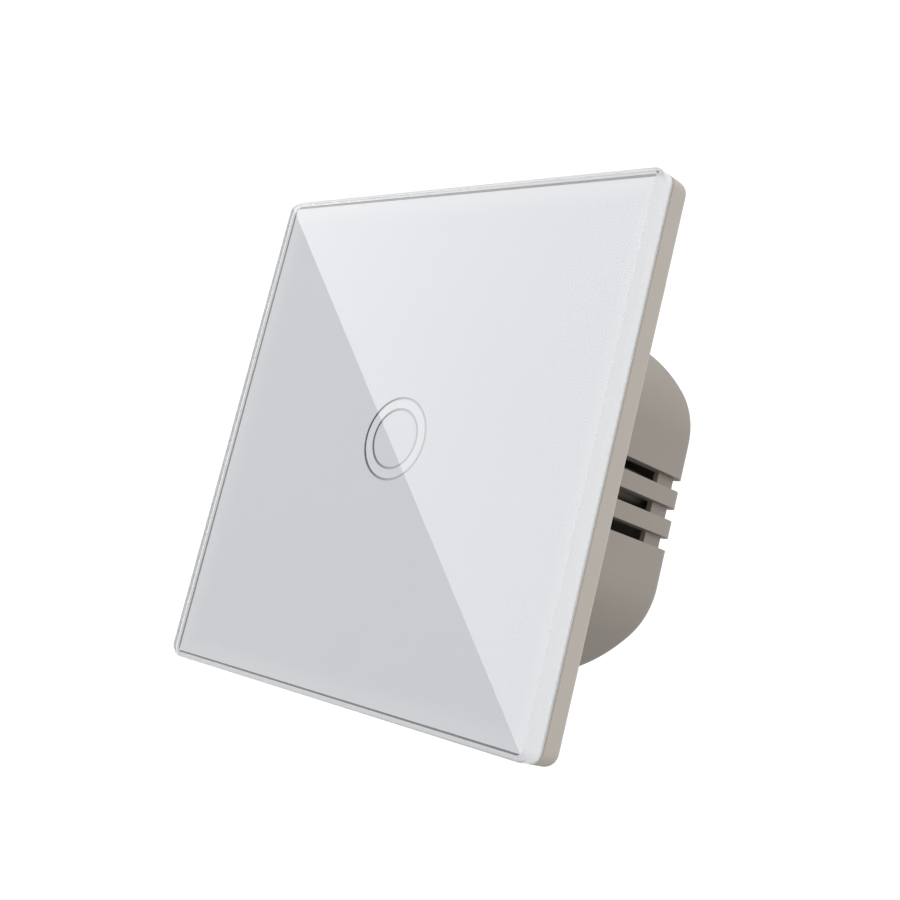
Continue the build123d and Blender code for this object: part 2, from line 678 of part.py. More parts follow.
def rear_housing():
    """Deep moulded shell that fits a round wall box."""
    outer = housing_outline(HOUSING_RADIUS, HOUSING_HALF_WIDTH, HOUSING_HALF_HEIGHT)
    body = slab(outer, 0, HOUSING_DEPTH)
    body = fillet(body.faces().sort_by(Axis.Y)[-1].edges(), HOUSING_REAR_FILLET)
    inner = housing_outline(
        HOUSING_RADIUS - HOUSING_ROUND_WALL,
        HOUSING_HALF_WIDTH - HOUSING_FLAT_WALL,
        HOUSING_HALF_HEIGHT - HOUSING_END_WALL,
    )
    body -= slab(inner, -OVERRUN, REAR_WALL_INNER)
    pilot = SCREW_SHANK_DIAMETER + 2 * SCREW_THREAD_CLEARANCE
    for x, z in four(SCREW_X, SCREW_Z):
        body += disc(BOSS_DIAMETER, 0, BOSS_LENGTH, x, z) & slab(outer, 0, HOUSING_DEPTH)
        body -= disc(pilot, -OVERRUN, BOSS_LENGTH - BOSS_FLOOR, x, z)
    for side in (-1, 1):
        body -= vent_cuts(side)
        x = side * BOARD_SCREW_X
        body += disc(BOARD_POST_DIAMETER, BOARD_REAR, REAR_WALL_INNER + OVERRUN, x, BOARD_SCREW_Z)
        hole = BOARD_SCREW_DIAMETER + 2 * SCREW_THREAD_CLEARANCE
        depth = BOARD_FRONT + BOARD_SCREW_LENGTH + SCREW_THREAD_CLEARANCE
        body -= disc(hole, BOARD_REAR - OVERRUN, depth, x, BOARD_SCREW_Z)
    for x in rows(POLE_COUNT, POLE_PITCH):
        well = CLAMP_HEAD_DIAMETER + 2 * WELL_CLEARANCE
        body -= disc(well, REAR_WALL_INNER - OVERRUN, HOUSING_DEPTH + OVERRUN, x, CLAMP_Z)
        low = -HOUSING_HALF_HEIGHT
        body -= upright(WIRE_PORT_DIAMETER, low - OVERRUN, low + HOUSING_END_WALL + OVERRUN, x, WIRE_DEPTH)
    bare = RectangleRounded(BARE_PANEL_WIDTH, BARE_PANEL_HEIGHT, BARE_PANEL_RADIUS)
    rear = HOUSING_DEPTH - BARE_PANEL_DEPTH
    return body - slab(Pos(0, BARE_PANEL_Z) * bare, rear, HOUSING_DEPTH + OVERRUN)


# Power board


def lead_holes(places, diameter=LEAD_DIAMETER):
    """Holes through the power board for round leads."""
    size = diameter + 2 * LEAD_HOLE_CLEARANCE
    cuts = [disc(size, BOARD_FRONT - OVERRUN, BOARD_REAR + OVERRUN, x, z) for x, z in places]
    return joined(cuts)


def round_leads(places, start, proud=LEAD_PROUD):
    """Round leads from a component down through the power board."""
    return joined([disc(LEAD_DIAMETER, start, BOARD_REAR + proud, x, z) for x, z in places])


def film_places():
    """The film capacitor's two leads."""
    return [(side * FILM_LENGTH / 3, FILM_Z) for side in (-1, 1)]


def can_places():
    """The electrolytic capacitor's two leads."""
    return [(CAN_X + side * CAN_DIAMETER / 4, CAN_Z) for side in (-1, 1)]


def varistor_places():
    """The varistor's two leads."""
    return [(VARISTOR_X, VARISTOR_Z + side * VARISTOR_DIAMETER / 4) for side in (-1, 1)]


def fuse_places():
    """The fuse's two leads, one in each cap."""
    offset = FUSE_LENGTH / 2 - FUSE_CAP_LENGTH / 2
    return [(-offset, FUSE_Z), (offset, FUSE_Z)]


def blade_slots():
    """Slots for the relay's yoke pin and contact blade, and for the clamp tongues."""
    clear = 2 * RELAY_FIT
    wide = (-YOKE_OUTER - RELAY_FIT, -YOKE_OUTER + YOKE_THICKNESS + RELAY_FIT)
    through = (RELAY_BASE_FRONT - OVERRUN, BOARD_REAR + OVERRUN)
    cuts = [box(wide, through, about(RELAY_Z, YOKE_PIN_WIDTH + clear))]
    wide = (BLADE_OUTER - BLADE_THICKNESS - RELAY_FIT, BLADE_OUTER + RELAY_FIT)
    cuts.append(box(wide, through, about(RELAY_Z, BLADE_WIDTH + clear)))
    return joined(cuts)


def coil_pin_places():
    """The relay coil's two pins."""
    return [(COIL_PIN_X, RELAY_Z + side * COIL_PIN_SPREAD) for side in (-1, 1)]


def power_board():
    """Main board, cut round the screw bosses."""
    outline = housing_outline(
        HOUSING_RADIUS - HOUSING_ROUND_WALL - BOARD_EDGE_CLEARANCE,
        HOUSING_HALF_WIDTH - HOUSING_FLAT_WALL - BOARD_EDGE_CLEARANCE,
        HOUSING_HALF_HEIGHT - HOUSING_END_WALL - BOARD_EDGE_CLEARANCE,
    )
    for x, z in four(SCREW_X, SCREW_Z):
        outline -= Pos(x, z) * Circle(BOSS_DIAMETER / 2 + BOARD_BOSS_CLEARANCE)
    board = slab(outline, BOARD_FRONT, BOARD_REAR)
    hole = BOARD_SCREW_DIAMETER + 2 * SCREW_HOLE_CLEARANCE
    for x in (-BOARD_SCREW_X, BOARD_SCREW_X):
        board -= disc(hole, BOARD_FRONT - OVERRUN, BOARD_REAR + OVERRUN, x, BOARD_SCREW_Z)
    board -= lead_holes(film_places() + can_places() + varistor_places() + fuse_places())
    board -= lead_holes(coil_pin_places())
    board -= blade_slots()
    clear = 2 * TONGUE_SLOT_CLEARANCE
    for x in rows(POLE_COUNT, POLE_PITCH):
        leg = (BLOCK_HIGH - TONGUE_LEG - TONGUE_SLOT_CLEARANCE, BLOCK_HIGH + TONGUE_SLOT_CLEARANCE)
        board -= box(about(x, TONGUE_LEG + clear), (BOARD_FRONT - OVERRUN, BOARD_REAR + OVERRUN), leg)
    return board


def board_screws():
    """Two screws that hold the power board to the housing's posts."""
    sizes = (BOARD_SCREW_DIAMETER, BOARD_SCREW_HEAD_DIAMETER, BOARD_SCREW_HEAD_HEIGHT)
    place = (BOARD_FRONT, BOARD_SCREW_LENGTH)
    screws = [cross_head(*sizes, *place, x, BOARD_SCREW_Z) for x in (-BOARD_SCREW_X, BOARD_SCREW_X)]
    return joined(screws)


# Relay


def relay_cover():
    """Thin box over the relay's works."""
    outer = Pos(0, RELAY_Z) * Rectangle(RELAY_LENGTH, RELAY_WIDTH)
    body = slab(outer, RELAY_ROOF, BOARD_FRONT - RELAY_STANDOFF)
    inner = Pos(0, RELAY_Z) * Rectangle(RELAY_LENGTH - 2 * RELAY_WALL, RELAY_WIDTH - 2 * RELAY_WALL)
    return body - slab(inner, RELAY_ROOF + RELAY_WALL, BOARD_FRONT)


def relay_base():
    """Base that closes the relay's box and holds its pins."""
    inset = 2 * (RELAY_WALL + RELAY_FIT)
    outline = Pos(0, RELAY_Z) * Rectangle(RELAY_LENGTH - inset, RELAY_WIDTH - inset)
    body = slab(outline, RELAY_BASE_FRONT, BOARD_FRONT) - blade_slots()
    size = LEAD_DIAMETER + 2 * LEAD_HOLE_CLEARANCE
    for x, z in coil_pin_places():
        body -= disc(size, RELAY_BASE_FRONT - OVERRUN, BOARD_FRONT + OVERRUN, x, z)
    return body


def relay_yoke():
    """Bent iron yoke: a foot under the coil, a leg beside it and a pin."""
    wide = (-YOKE_OUTER, -YOKE_OUTER + YOKE_THICKNESS)
    tall = about(RELAY_Z, YOKE_WIDTH)
    body = box(wide, (YOKE_TOP, YOKE_FOOT_REAR), tall)
    body += box((-YOKE_OUTER, YOKE_FOOT_END), (YOKE_FOOT_FRONT, YOKE_FOOT_REAR), tall)
    pin = (YOKE_FOOT_FRONT, BOARD_REAR + LEAD_PROUD)
    return body + box(wide, pin, about(RELAY_Z, YOKE_PIN_WIDTH))


def relay_core():
    """Iron core with a wider pole face."""
    body = disc(CORE_DIAMETER, POLE_FACE, YOKE_FOOT_FRONT, CORE_X, RELAY_Z)
    return body + disc(POLE_DIAMETER, POLE_FACE, POLE_FACE + POLE_THICKNESS, CORE_X, RELAY_Z)


def relay_bobbin():
    """Bobbin with two square flanges; the rear one carries the coil pins."""
    bore = CORE_DIAMETER + 2 * BOBBIN_FIT
    rear = YOKE_FOOT_FRONT
    wide = about(CORE_X, BOBBIN_WIDTH)
    tall = about(RELAY_Z, BOBBIN_WIDTH)
    body = disc(bore + 2 * BOBBIN_WALL, BOBBIN_FRONT, rear, CORE_X, RELAY_Z)
    body += box(wide, (BOBBIN_FRONT, BOBBIN_FRONT + BOBBIN_FLANGE), tall)
    body += box((wide[0], BOBBIN_TAIL), (rear - BOBBIN_FLANGE, rear), tall)
    body -= disc(bore, BOBBIN_FRONT - OVERRUN, rear + OVERRUN, CORE_X, RELAY_Z)
    size = LEAD_DIAMETER + 2 * LEAD_HOLE_CLEARANCE
    for x, z in coil_pin_places():
        body -= disc(size, rear - BOBBIN_FLANGE - OVERRUN, rear + OVERRUN, x, z)
    return body


def relay_winding():
    """Copper winding between the bobbin's flanges."""
    inside = CORE_DIAMETER / 2 + BOBBIN_FIT + BOBBIN_WALL + WINDING_END_GAP
    outline = Pos(CORE_X, RELAY_Z) * (Circle(WINDING_RADIUS) - Circle(inside))
    front = BOBBIN_FRONT + BOBBIN_FLANGE + WINDING_END_GAP
    return slab(outline, front, YOKE_FOOT_FRONT - BOBBIN_FLANGE - WINDING_END_GAP)


def relay_coil_pins():
    """The coil's two pins, from the bobbin through base and board."""
    return round_leads(coil_pin_places(), YOKE_FOOT_FRONT - BOBBIN_FLANGE)


def relay_armature():
    """Iron flap that the coil pulls onto the pole."""
    wide = (-YOKE_OUTER - ARMATURE_TAIL, ARMATURE_REACH)
    return box(wide, (ARMATURE_FRONT, ARMATURE_REAR), about(RELAY_Z, YOKE_WIDTH))


def relay_contact_leaf():
    """Spring leaf on the armature, with the moving contact at its end."""
    wide = (-YOKE_OUTER + YOKE_THICKNESS, LEAF_END)
    deep = (ARMATURE_FRONT - LEAF_THICKNESS, ARMATURE_FRONT)
    leaf = box(wide, deep, about(RELAY_Z, LEAF_WIDTH))
    face = ARMATURE_FRONT + CONTACT_HEIGHT
    return leaf + disc(CONTACT_DIAMETER, ARMATURE_FRONT, face, CONTACT_X, RELAY_Z)


def relay_fixed_contact():
    """Blade with the fixed contact, from the base up beside the coil."""
    face = ARMATURE_FRONT + CONTACT_HEIGHT + CONTACT_TRAVEL
    top = face + CONTACT_HEIGHT
    tall = about(RELAY_Z, BLADE_WIDTH)
    leg = box((BLADE_OUTER - BLADE_THICKNESS, BLADE_OUTER), (top, BOARD_REAR + LEAD_PROUD), tall)
    arm = box((BLADE_START, BLADE_OUTER), (top, top + BLADE_THICKNESS), tall)
    return leg + arm + disc(CONTACT_DIAMETER, face, top, CONTACT_X, RELAY_Z)


# Other parts on the power board


def film_capacitor():
    """Boxed film capacitor, standing on its leads."""
    deep = (BOARD_FRONT - FILM_HEIGHT, BOARD_FRONT)
    body = box(about(0, FILM_LENGTH), deep, about(FILM_Z, FILM_WIDTH))
    body = fillet(body.edges().filter_by(Axis.Y), FILM_EDGE)
    return body + round_leads(film_places(), BOARD_FRONT - FILM_EDGE, 0)


def electrolytic_can():
    """Sleeved aluminium can, open towards the board."""
    body = disc(CAN_DIAMETER, BOARD_FRONT - CAN_HEIGHT, BOARD_FRONT, CAN_X, CAN_Z)
    body = fillet(body.faces().sort_by(Axis.Y)[0].edges(), CAN_EDGE)
    inner = CAN_DIAMETER - 2 * CAN_WALL
    return body - disc(inner, BOARD_FRONT - SEAL_HEIGHT, BOARD_FRONT + OVERRUN, CAN_X, CAN_Z)


def electrolytic_seal():
    """Rubber seal in the can's mouth, with the two leads."""
    size = CAN_DIAMETER - 2 * CAN_WALL - 2 * SEAL_FIT
    body = disc(size, BOARD_FRONT - SEAL_HEIGHT, BOARD_FRONT, CAN_X, CAN_Z)
    return body + round_leads(can_places(), BOARD_FRONT - SEAL_HEIGHT / 2, 0)


def transformer_core():
    """Ferrite core: a closed frame with a middle leg."""
    deep = (BOARD_FRONT - CORE_HEIGHT, BOARD_FRONT)
    body = box(about(CORE_CENTRE_X, CORE_LENGTH), deep, about(CORE_CENTRE_Z, CORE_WIDTH))
    window = (deep[0] + CORE_LEG, deep[1] - CORE_LEG)
    through = about(CORE_CENTRE_Z, CORE_WIDTH + 2 * OVERRUN)
    half = CORE_LENGTH / 2
    for side in (-1, 1):
        ends = (CORE_CENTRE_X + side * CORE_LEG / 2, CORE_CENTRE_X + side * (half - CORE_LEG / 2))
        body -= box(sorted(ends), window, through)
    return body


def former_window():
    """Depths of the space inside the ferrite core."""
    return (BOARD_FRONT - CORE_HEIGHT + CORE_LEG, BOARD_FRONT - CORE_LEG)


def transformer_bobbin():
    """Moulded former round the middle leg."""
    front, rear = former_window()
    front, rear = front + COIL_GAP, rear - COIL_GAP
    inner_x = CORE_LEG + 2 * COIL_GAP
    inner_z = CORE_WIDTH + 2 * COIL_GAP
    tube = box(
        about(CORE_CENTRE_X, inner_x + 2 * FORMER_WALL),
        (front, rear),
        about(CORE_CENTRE_Z, inner_z + 2 * FORMER_WALL),
    )
    flange_x = CORE_LENGTH - CORE_LEG - 2 * COIL_GAP
    flange_z = CORE_WIDTH + 2 * FORMER_OVERHANG
    for deep in ((front, front + FORMER_FLANGE), (rear - FORMER_FLANGE, rear)):
        tube += box(about(CORE_CENTRE_X, flange_x), deep, about(CORE_CENTRE_Z, flange_z))
    hole = (about(CORE_CENTRE_X, inner_x), (front - OVERRUN, rear + OVERRUN), about(CORE_CENTRE_Z, inner_z))
    foot = box(about(CORE_CENTRE_X, flange_x), (rear - FORMER_FLANGE, BOARD_FRONT), former_foot())
    return tube - box(*hole) + foot


def former_foot():
    """Heights of the former's foot, clear of the core."""
    low = CORE_CENTRE_Z - CORE_WIDTH / 2 - FORMER_OVERHANG
    return (low, low + FORMER_OVERHANG - COIL_GAP)


def transformer_winding():
    """Taped winding on the former."""
    front, rear = former_window()
    inset = COIL_GAP + FORMER_FLANGE + COIL_GAP
    inner_x = CORE_LEG + 4 * COIL_GAP + 2 * FORMER_WALL
    inner_z = CORE_WIDTH + 4 * COIL_GAP + 2 * FORMER_WALL
    outline = Rectangle(inner_x + 2 * COIL_BUILD, inner_z + 2 * COIL_BUILD) - Rectangle(inner_x, inner_z)
    return slab(Pos(CORE_CENTRE_X, CORE_CENTRE_Z) * outline, front + inset, rear - inset)


def line_fuse():
    """Ceramic fuse with two metal caps, lying on the board's rear."""
    y = BOARD_REAR + FUSE_DIAMETER / 2 + FUSE_CAP_PROUD
    half = FUSE_LENGTH / 2
    body = crosswise(FUSE_DIAMETER, -half, half, y, FUSE_Z)
    wide = FUSE_DIAMETER + 2 * FUSE_CAP_PROUD
    body += crosswise(wide, -half, -half + FUSE_CAP_LENGTH, y, FUSE_Z)
    body += crosswise(wide, half - FUSE_CAP_LENGTH, half, y, FUSE_Z)
    return body + joined([disc(LEAD_DIAMETER, BOARD_FRONT, y, *place) for place in fuse_places()])


def varistor():
    """Coated disc standing on its two leads."""
    y = BOARD_FRONT - VARISTOR_STANDOFF - VARISTOR_DIAMETER / 2
    half = VARISTOR_THICKNESS / 2
    body = crosswise(VARISTOR_DIAMETER, VARISTOR_X - half, VARISTOR_X + half, y, VARISTOR_Z)
    body = fillet(body.edges().filter_by(GeomType.CIRCLE), VARISTOR_EDGE)
    return body + round_leads(varistor_places(), y)


def bridge_rectifier():
    """Moulded rectifier, flat on the board."""
    deep = (BOARD_FRONT - BRIDGE_HEIGHT, BOARD_FRONT)
    return box(about(BRIDGE_X, BRIDGE_LENGTH), deep, about(BRIDGE_Z, BRIDGE_WIDTH))


def resistors():
    """Leaded resistors lying side by side."""
    y = BOARD_FRONT - RESISTOR_DIAMETER / 2
    low = RESISTOR_X - RESISTOR_LENGTH / 2
    high = RESISTOR_X + RESISTOR_LENGTH / 2
    group = []
    for n in range(RESISTOR_COUNT):
        z = RESISTOR_FIRST_Z + n * RESISTOR_PITCH
        body = crosswise(RESISTOR_NECK_DIAMETER, low, high, y, z)
        body += crosswise(RESISTOR_DIAMETER, low, low + RESISTOR_BAND, y, z)
        body += crosswise(RESISTOR_DIAMETER, high - RESISTOR_BAND, high, y, z)
        group.append(body)
    return joined(group)


def filter_inductor():
    """Drum inductor on the board's rear."""
    front, rear = BOARD_REAR, BOARD_REAR + INDUCTOR_HEIGHT
    body = disc(INDUCTOR_WAIST_DIAMETER, front, rear, INDUCTOR_X, INDUCTOR_Z)
    body += disc(INDUCTOR_DIAMETER, front, front + INDUCTOR_FLANGE, INDUCTOR_X, INDUCTOR_Z)
    return body + disc(INDUCTOR_DIAMETER, rear - INDUCTOR_FLANGE, rear, INDUCTOR_X, INDUCTOR_Z)


# Terminals


def terminal_block():
    """Moulded block with a shaft, a wire hole and a screw hole for each clamp."""
    body = box((-BLOCK_HALF_WIDTH, BLOCK_HALF_WIDTH), (BOARD_REAR, BLOCK_REAR), (BLOCK_LOW, BLOCK_HIGH))
    for x in rows(POLE_COUNT, POLE_PITCH):
        shaft = (CAGE_BOTTOM - CAGE_FLOOR_GAP, CAVITY_TOP)
        wide = about(x, CAGE_WIDTH + 2 * CAGE_CLEARANCE)
        tall = about(CLAMP_Z, CAGE_LENGTH + 2 * CAGE_CLEARANCE)
        body -= box(wide, shaft, tall)
        shank = CLAMP_SCREW_DIAMETER + 2 * CLAMP_SHANK_CLEARANCE
        body -= disc(shank, CAVITY_TOP - OVERRUN, BLOCK_REAR + OVERRUN, x, CLAMP_Z)
        body -= upright(WIRE_HOLE_DIAMETER, BLOCK_LOW - OVERRUN, CLAMP_Z, x, WIRE_DEPTH)
        mouth = Cone(WIRE_FUNNEL_DIAMETER / 2, WIRE_HOLE_DIAMETER / 2, WIRE_FUNNEL_DEPTH)
        body -= Pos(x, WIRE_DEPTH, BLOCK_LOW + WIRE_FUNNEL_DEPTH / 2) * mouth
        body -= tongue(x, TONGUE_SLOT_CLEARANCE)
    return body


def tongue(x, margin=0.0):
    """A bent copper tongue: a blade through the cage and a leg into the board."""
    wide = about(x, TONGUE_WIDTH + 2 * margin)
    deep = (TONGUE_FRONT - margin, TONGUE_REAR + margin)
    blade = box(wide, deep, (TONGUE_LOW - margin, BLOCK_HIGH + margin))
    tall = (BLOCK_HIGH - TONGUE_LEG - margin, BLOCK_HIGH + margin)
    return blade + box(about(x, TONGUE_LEG + 2 * margin), (BOARD_FRONT, TONGUE_REAR), tall)


def terminal_tongues():
    """The three fixed tongues that the wires are clamped to."""
    return joined([tongue(x) for x in rows(POLE_COUNT, POLE_PITCH)])


def terminal_cage(x):
    """Steel cage that rises on its screw and clamps the wire to the tongue."""
    deep = (CAGE_BOTTOM, CAGE_TOP)
    body = box(about(x, CAGE_WIDTH), deep, about(CLAMP_Z, CAGE_LENGTH))
    window = (CAGE_BOTTOM + CAGE_FLOOR, CAGE_INNER_TOP)
    through = about(CLAMP_Z, CAGE_LENGTH + 2 * OVERRUN)
    body -= box(about(x, CAGE_WIDTH - 2 * CAGE_SIDE_WALL), window, through)
    hole = CLAMP_SCREW_DIAMETER + 2 * CLAMP_RUNNING_CLEARANCE
    return body - disc(hole, CAGE_INNER_TOP - OVERRUN, CAGE_TOP + OVERRUN, x, CLAMP_Z)


def terminal_screw(x):
    """Slotted clamp screw, its head at the rear."""
    body = disc(CLAMP_SCREW_DIAMETER, TONGUE_REAR + TONGUE_GAP, CLAMP_HEAD_START, x, CLAMP_Z)
    top = CLAMP_HEAD_START + CLAMP_HEAD_HEIGHT
    body += disc(CLAMP_HEAD_DIAMETER, CLAMP_HEAD_START, top, x, CLAMP_Z)
    wide = about(x, CLAMP_HEAD_DIAMETER + OVERRUN)
    return body - box(wide, (top - CLAMP_SLOT_DEPTH, top + OVERRUN), about(CLAMP_Z, CLAMP_SLOT_WIDTH))


def nodes():
    """Every node's name and shape."""
    plain = [
        glass_panel, glass_print, ring_mark, adhesive_frame, panel_frame,
        mounting_plate, front_cover, light_guide, indicator_leds, touch_electrode,
        sensor_board, touch_chip, header_base, header_pins, housing_screws,
        rear_housing, power_board, board_screws, socket_header,
        relay_base, relay_cover, relay_bobbin, relay_winding, relay_core, relay_yoke,
        relay_coil_pins, relay_fixed_contact, relay_armature, relay_contact_leaf,
        film_capacitor, electrolytic_can, electrolytic_seal,
        transformer_core, transformer_bobbin, transformer_winding,
        line_fuse, varistor, bridge_rectifier, resistors, filter_inductor,
        terminal_block, terminal_tongues,
    ]
    found = {maker.__name__: maker() for maker in plain}
    for number, x in enumerate(rows(POLE_COUNT, POLE_PITCH), start=1):
        found[f"terminal_cage_{number}"] = terminal_cage(x)
        found[f"terminal_screw_{number}"] = terminal_screw(x)
    return found


def main():
    """Write one STEP file for each node."""
    os.makedirs("parts", exist_ok=True)
    for name, shape in nodes().items():
        export_step(shape, os.path.join("parts", name + ".step"))


main()
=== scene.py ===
"""Looks of a one-gang touch light switch: glass panel, moulded frame and a deep wall-box housing.

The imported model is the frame. Its nodes get procedural finishes, and a few pieces that the solids
can't show well are modelled here and stand for them. Lengths are millimetres until they meet a mesh.
"""

import logging
import math
from dataclasses import dataclass, field
from enum import Enum
from typing import Any, Mapping

import bmesh
import bpy
from mathutils import Matrix, Vector

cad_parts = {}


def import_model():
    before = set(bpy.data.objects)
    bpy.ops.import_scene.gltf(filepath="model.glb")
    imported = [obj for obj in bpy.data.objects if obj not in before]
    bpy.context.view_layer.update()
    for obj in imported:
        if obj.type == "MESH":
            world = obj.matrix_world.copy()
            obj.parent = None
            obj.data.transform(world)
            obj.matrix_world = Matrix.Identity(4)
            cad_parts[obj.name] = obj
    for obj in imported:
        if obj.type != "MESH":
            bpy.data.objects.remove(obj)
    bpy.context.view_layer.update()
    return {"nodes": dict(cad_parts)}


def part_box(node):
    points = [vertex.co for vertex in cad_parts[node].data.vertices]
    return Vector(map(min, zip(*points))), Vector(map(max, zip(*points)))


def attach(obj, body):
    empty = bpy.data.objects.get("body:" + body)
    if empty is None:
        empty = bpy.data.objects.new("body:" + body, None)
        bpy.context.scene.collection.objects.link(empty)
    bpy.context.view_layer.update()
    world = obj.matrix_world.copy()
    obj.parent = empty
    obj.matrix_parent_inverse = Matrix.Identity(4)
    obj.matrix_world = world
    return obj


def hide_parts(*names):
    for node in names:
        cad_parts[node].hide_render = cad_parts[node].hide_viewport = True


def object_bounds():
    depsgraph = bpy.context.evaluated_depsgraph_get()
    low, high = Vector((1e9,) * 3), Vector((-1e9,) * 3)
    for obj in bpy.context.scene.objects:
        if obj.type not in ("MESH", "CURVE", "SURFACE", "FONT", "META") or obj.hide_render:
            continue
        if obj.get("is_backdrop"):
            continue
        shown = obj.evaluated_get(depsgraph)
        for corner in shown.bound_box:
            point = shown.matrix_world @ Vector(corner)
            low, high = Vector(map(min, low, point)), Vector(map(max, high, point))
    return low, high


MM = 0.001
LOG = logging.getLogger("touch_switch")
RENDER_WIDTH_PX = 900
SENSOR_WIDTH_MM = 36.0
# Where the Mix node keeps its two floats, its two colours and its colour result
MIX_FLOAT_A, MIX_FLOAT_B = 2, 3
MIX_A, MIX_B, MIX_COLOUR = 6, 7, 2
# The sRGB curve: a short straight part, then a power
SRGB_KNEE = 0.04045
SRGB_SLOPE = 12.92
SRGB_LIFT = 0.055
SRGB_SPAN = 1.055
SRGB_POWER = 2.4
# The refractive index of common resins and inks
RESIN_IOR = 1.5
# Octaves of noise: more for a tone, fewer for a fine grain
TONE_DETAIL = 3.0
GRAIN_DETAIL = 2.0
PAD_SIDES = 24


def linear(hex_colour: str) -> tuple[float, float, float, float]:
    """Turn an sRGB hex colour to linear light.

    Args:
        hex_colour: six hex digits after a hash.

    Returns:
        Linear red, green and blue with an alpha of one.
    """
    parts = [int(hex_colour[i:i + 2], 16) / 255 for i in (1, 3, 5)]
    light = [
        part / SRGB_SLOPE if part <= SRGB_KNEE else ((part + SRGB_LIFT) / SRGB_SPAN) ** SRGB_POWER
        for part in parts
    ]
    return (light[0], light[1], light[2], 1.0)


def per_metre(size_mm: float) -> float:
    """Give the texture scale whose pattern repeats about every size_mm."""
    return 1.0 / (size_mm * MM)


def add_node(
    tree: bpy.types.NodeTree,
    kind: str,
    options: Mapping[str, Any] | None = None,
    values: Mapping[Any, Any] | None = None,
    links: Mapping[Any, bpy.types.NodeSocket] | None = None,
) -> bpy.types.Node:
    """Add one shader node with its settings and links.

    Args:
        tree: the material's node tree.
        kind: the node's Blender type.
        options: node attributes.
        values: unlinked input values by socket name or index.
        links: the output that feeds each input.

    Returns:
        The new node.
    """
    node = tree.nodes.new(kind)
    for key, value in (options or {}).items():
        setattr(node, key, value)
    for key, value in (values or {}).items():
        node.inputs[key].default_value = value
    for key, source in (links or {}).items():
        tree.links.new(source, node.inputs[key])
    return node


def start_material(
    name: str, values: Mapping[str, Any]
) -> tuple[bpy.types.Material, bpy.types.NodeTree, bpy.types.Node, bpy.types.NodeSocket]:
    """Start a material with one Principled shader.

    Args:
        name: the material's name.
        values: the shader's own constants.

    Returns:
        The material, its tree, its shader and the Object coordinates.
    """
    material = bpy.data.materials.new(name)
    material.use_nodes = True
    tree = material.node_tree
    tree.nodes.clear()
    shader = add_node(tree, "ShaderNodeBsdfPrincipled", values=values)
    add_node(tree, "ShaderNodeOutputMaterial", links={"Surface": shader.outputs[0]})
    place = add_node(tree, "ShaderNodeTexCoord").outputs["Object"]
    return material, tree, shader, place


def square_reach(tree: bpy.types.NodeTree, place: bpy.types.NodeSocket) -> bpy.types.NodeSocket:
    """Give the larger of |x| and |z|, which is even all along a square's border.

    Args:
        tree: the material's node tree.
        place: the Object coordinates.

    Returns:
        The distance, in metres.
    """
    apart = add_node(tree, "ShaderNodeSeparateXYZ", links={"Vector": place})
    across, up = (
        add_node(tree, "ShaderNodeMath", {"operation": "ABSOLUTE"}, links={0: apart.outputs[n]})
        for n in (0, 2)
    )
    return add_node(
        tree, "ShaderNodeMath", {"operation": "MAXIMUM"}, links={0: across.outputs[0], 1: up.outputs[0]}
    ).outputs[0]


def ramp(
    tree: bpy.types.NodeTree, value: bpy.types.NodeSocket, start_mm: float, end_mm: float,
    low: float = 0.0, high: float = 1.0,
) -> bpy.types.NodeSocket:
    """Let a value rise from low to high between two distances.

    Args:
        tree: the material's node tree.
        value: a distance in metres.
        start_mm: where the rise starts.
        end_mm: where it ends.
        low: the result up to the start.
        high: the result from the end on.

    Returns:
        The ramp's output.
    """
    values = {"From Min": start_mm * MM, "From Max": end_mm * MM, "To Min": low, "To Max": high}
    return add_node(
        tree, "ShaderNodeMapRange", {"interpolation_type": "SMOOTHSTEP"}, values, {"Value": value}
    ).outputs[0]


class MetalGrain(Enum):
    """How a metal's surface was made."""

    ROLLED = "rolled"
    SPANGLED = "spangled"
    TUMBLED = "tumbled"
    WOUND = "wound"


@dataclass(frozen=True)
class Moulded:
    """Injection-moulded plastic: an even colour, slight flow tone and a spark-eroded grain."""

    name: str
    colour: str
    flow_colour: str
    roughness: float = 0.5
    grain_mm: float = 0.35
    grain_height_mm: float = 0.012
    flow_mm: float = 22.0
    grain_strength: float = 0.6
    gloss_drift: float = 0.06

    def build(self) -> bpy.types.Material:
        """Build the material."""
        material, tree, shader, place = start_material(self.name, {"IOR": RESIN_IOR})
        flow = add_node(
            tree, "ShaderNodeTexNoise",
            values={"Scale": per_metre(self.flow_mm), "Detail": TONE_DETAIL},
            links={"Vector": place},
        )
        tone = add_node(
            tree, "ShaderNodeMix", {"data_type": "RGBA"},
            {MIX_A: linear(self.colour), MIX_B: linear(self.flow_colour)}, {0: flow.outputs[0]},
        )
        grain = add_node(
            tree, "ShaderNodeTexNoise",
            values={"Scale": per_metre(self.grain_mm), "Detail": GRAIN_DETAIL},
            links={"Vector": place},
        )
        bump = add_node(
            tree, "ShaderNodeBump",
            values={"Strength": self.grain_strength, "Distance": self.grain_height_mm * MM},
            links={"Height": grain.outputs[0]},
        )
        gloss = add_node(
            tree, "ShaderNodeMapRange",
            values={
                "To Min": self.roughness - self.gloss_drift,
                "To Max": self.roughness + self.gloss_drift,
            },
            links={"Value": flow.outputs[0]},
        )
        tree.links.new(tone.outputs[MIX_COLOUR], shader.inputs["Base Color"])
        tree.links.new(gloss.outputs[0], shader.inputs["Roughness"])
        tree.links.new(bump.outputs[0], shader.inputs["Normal"])
        return material


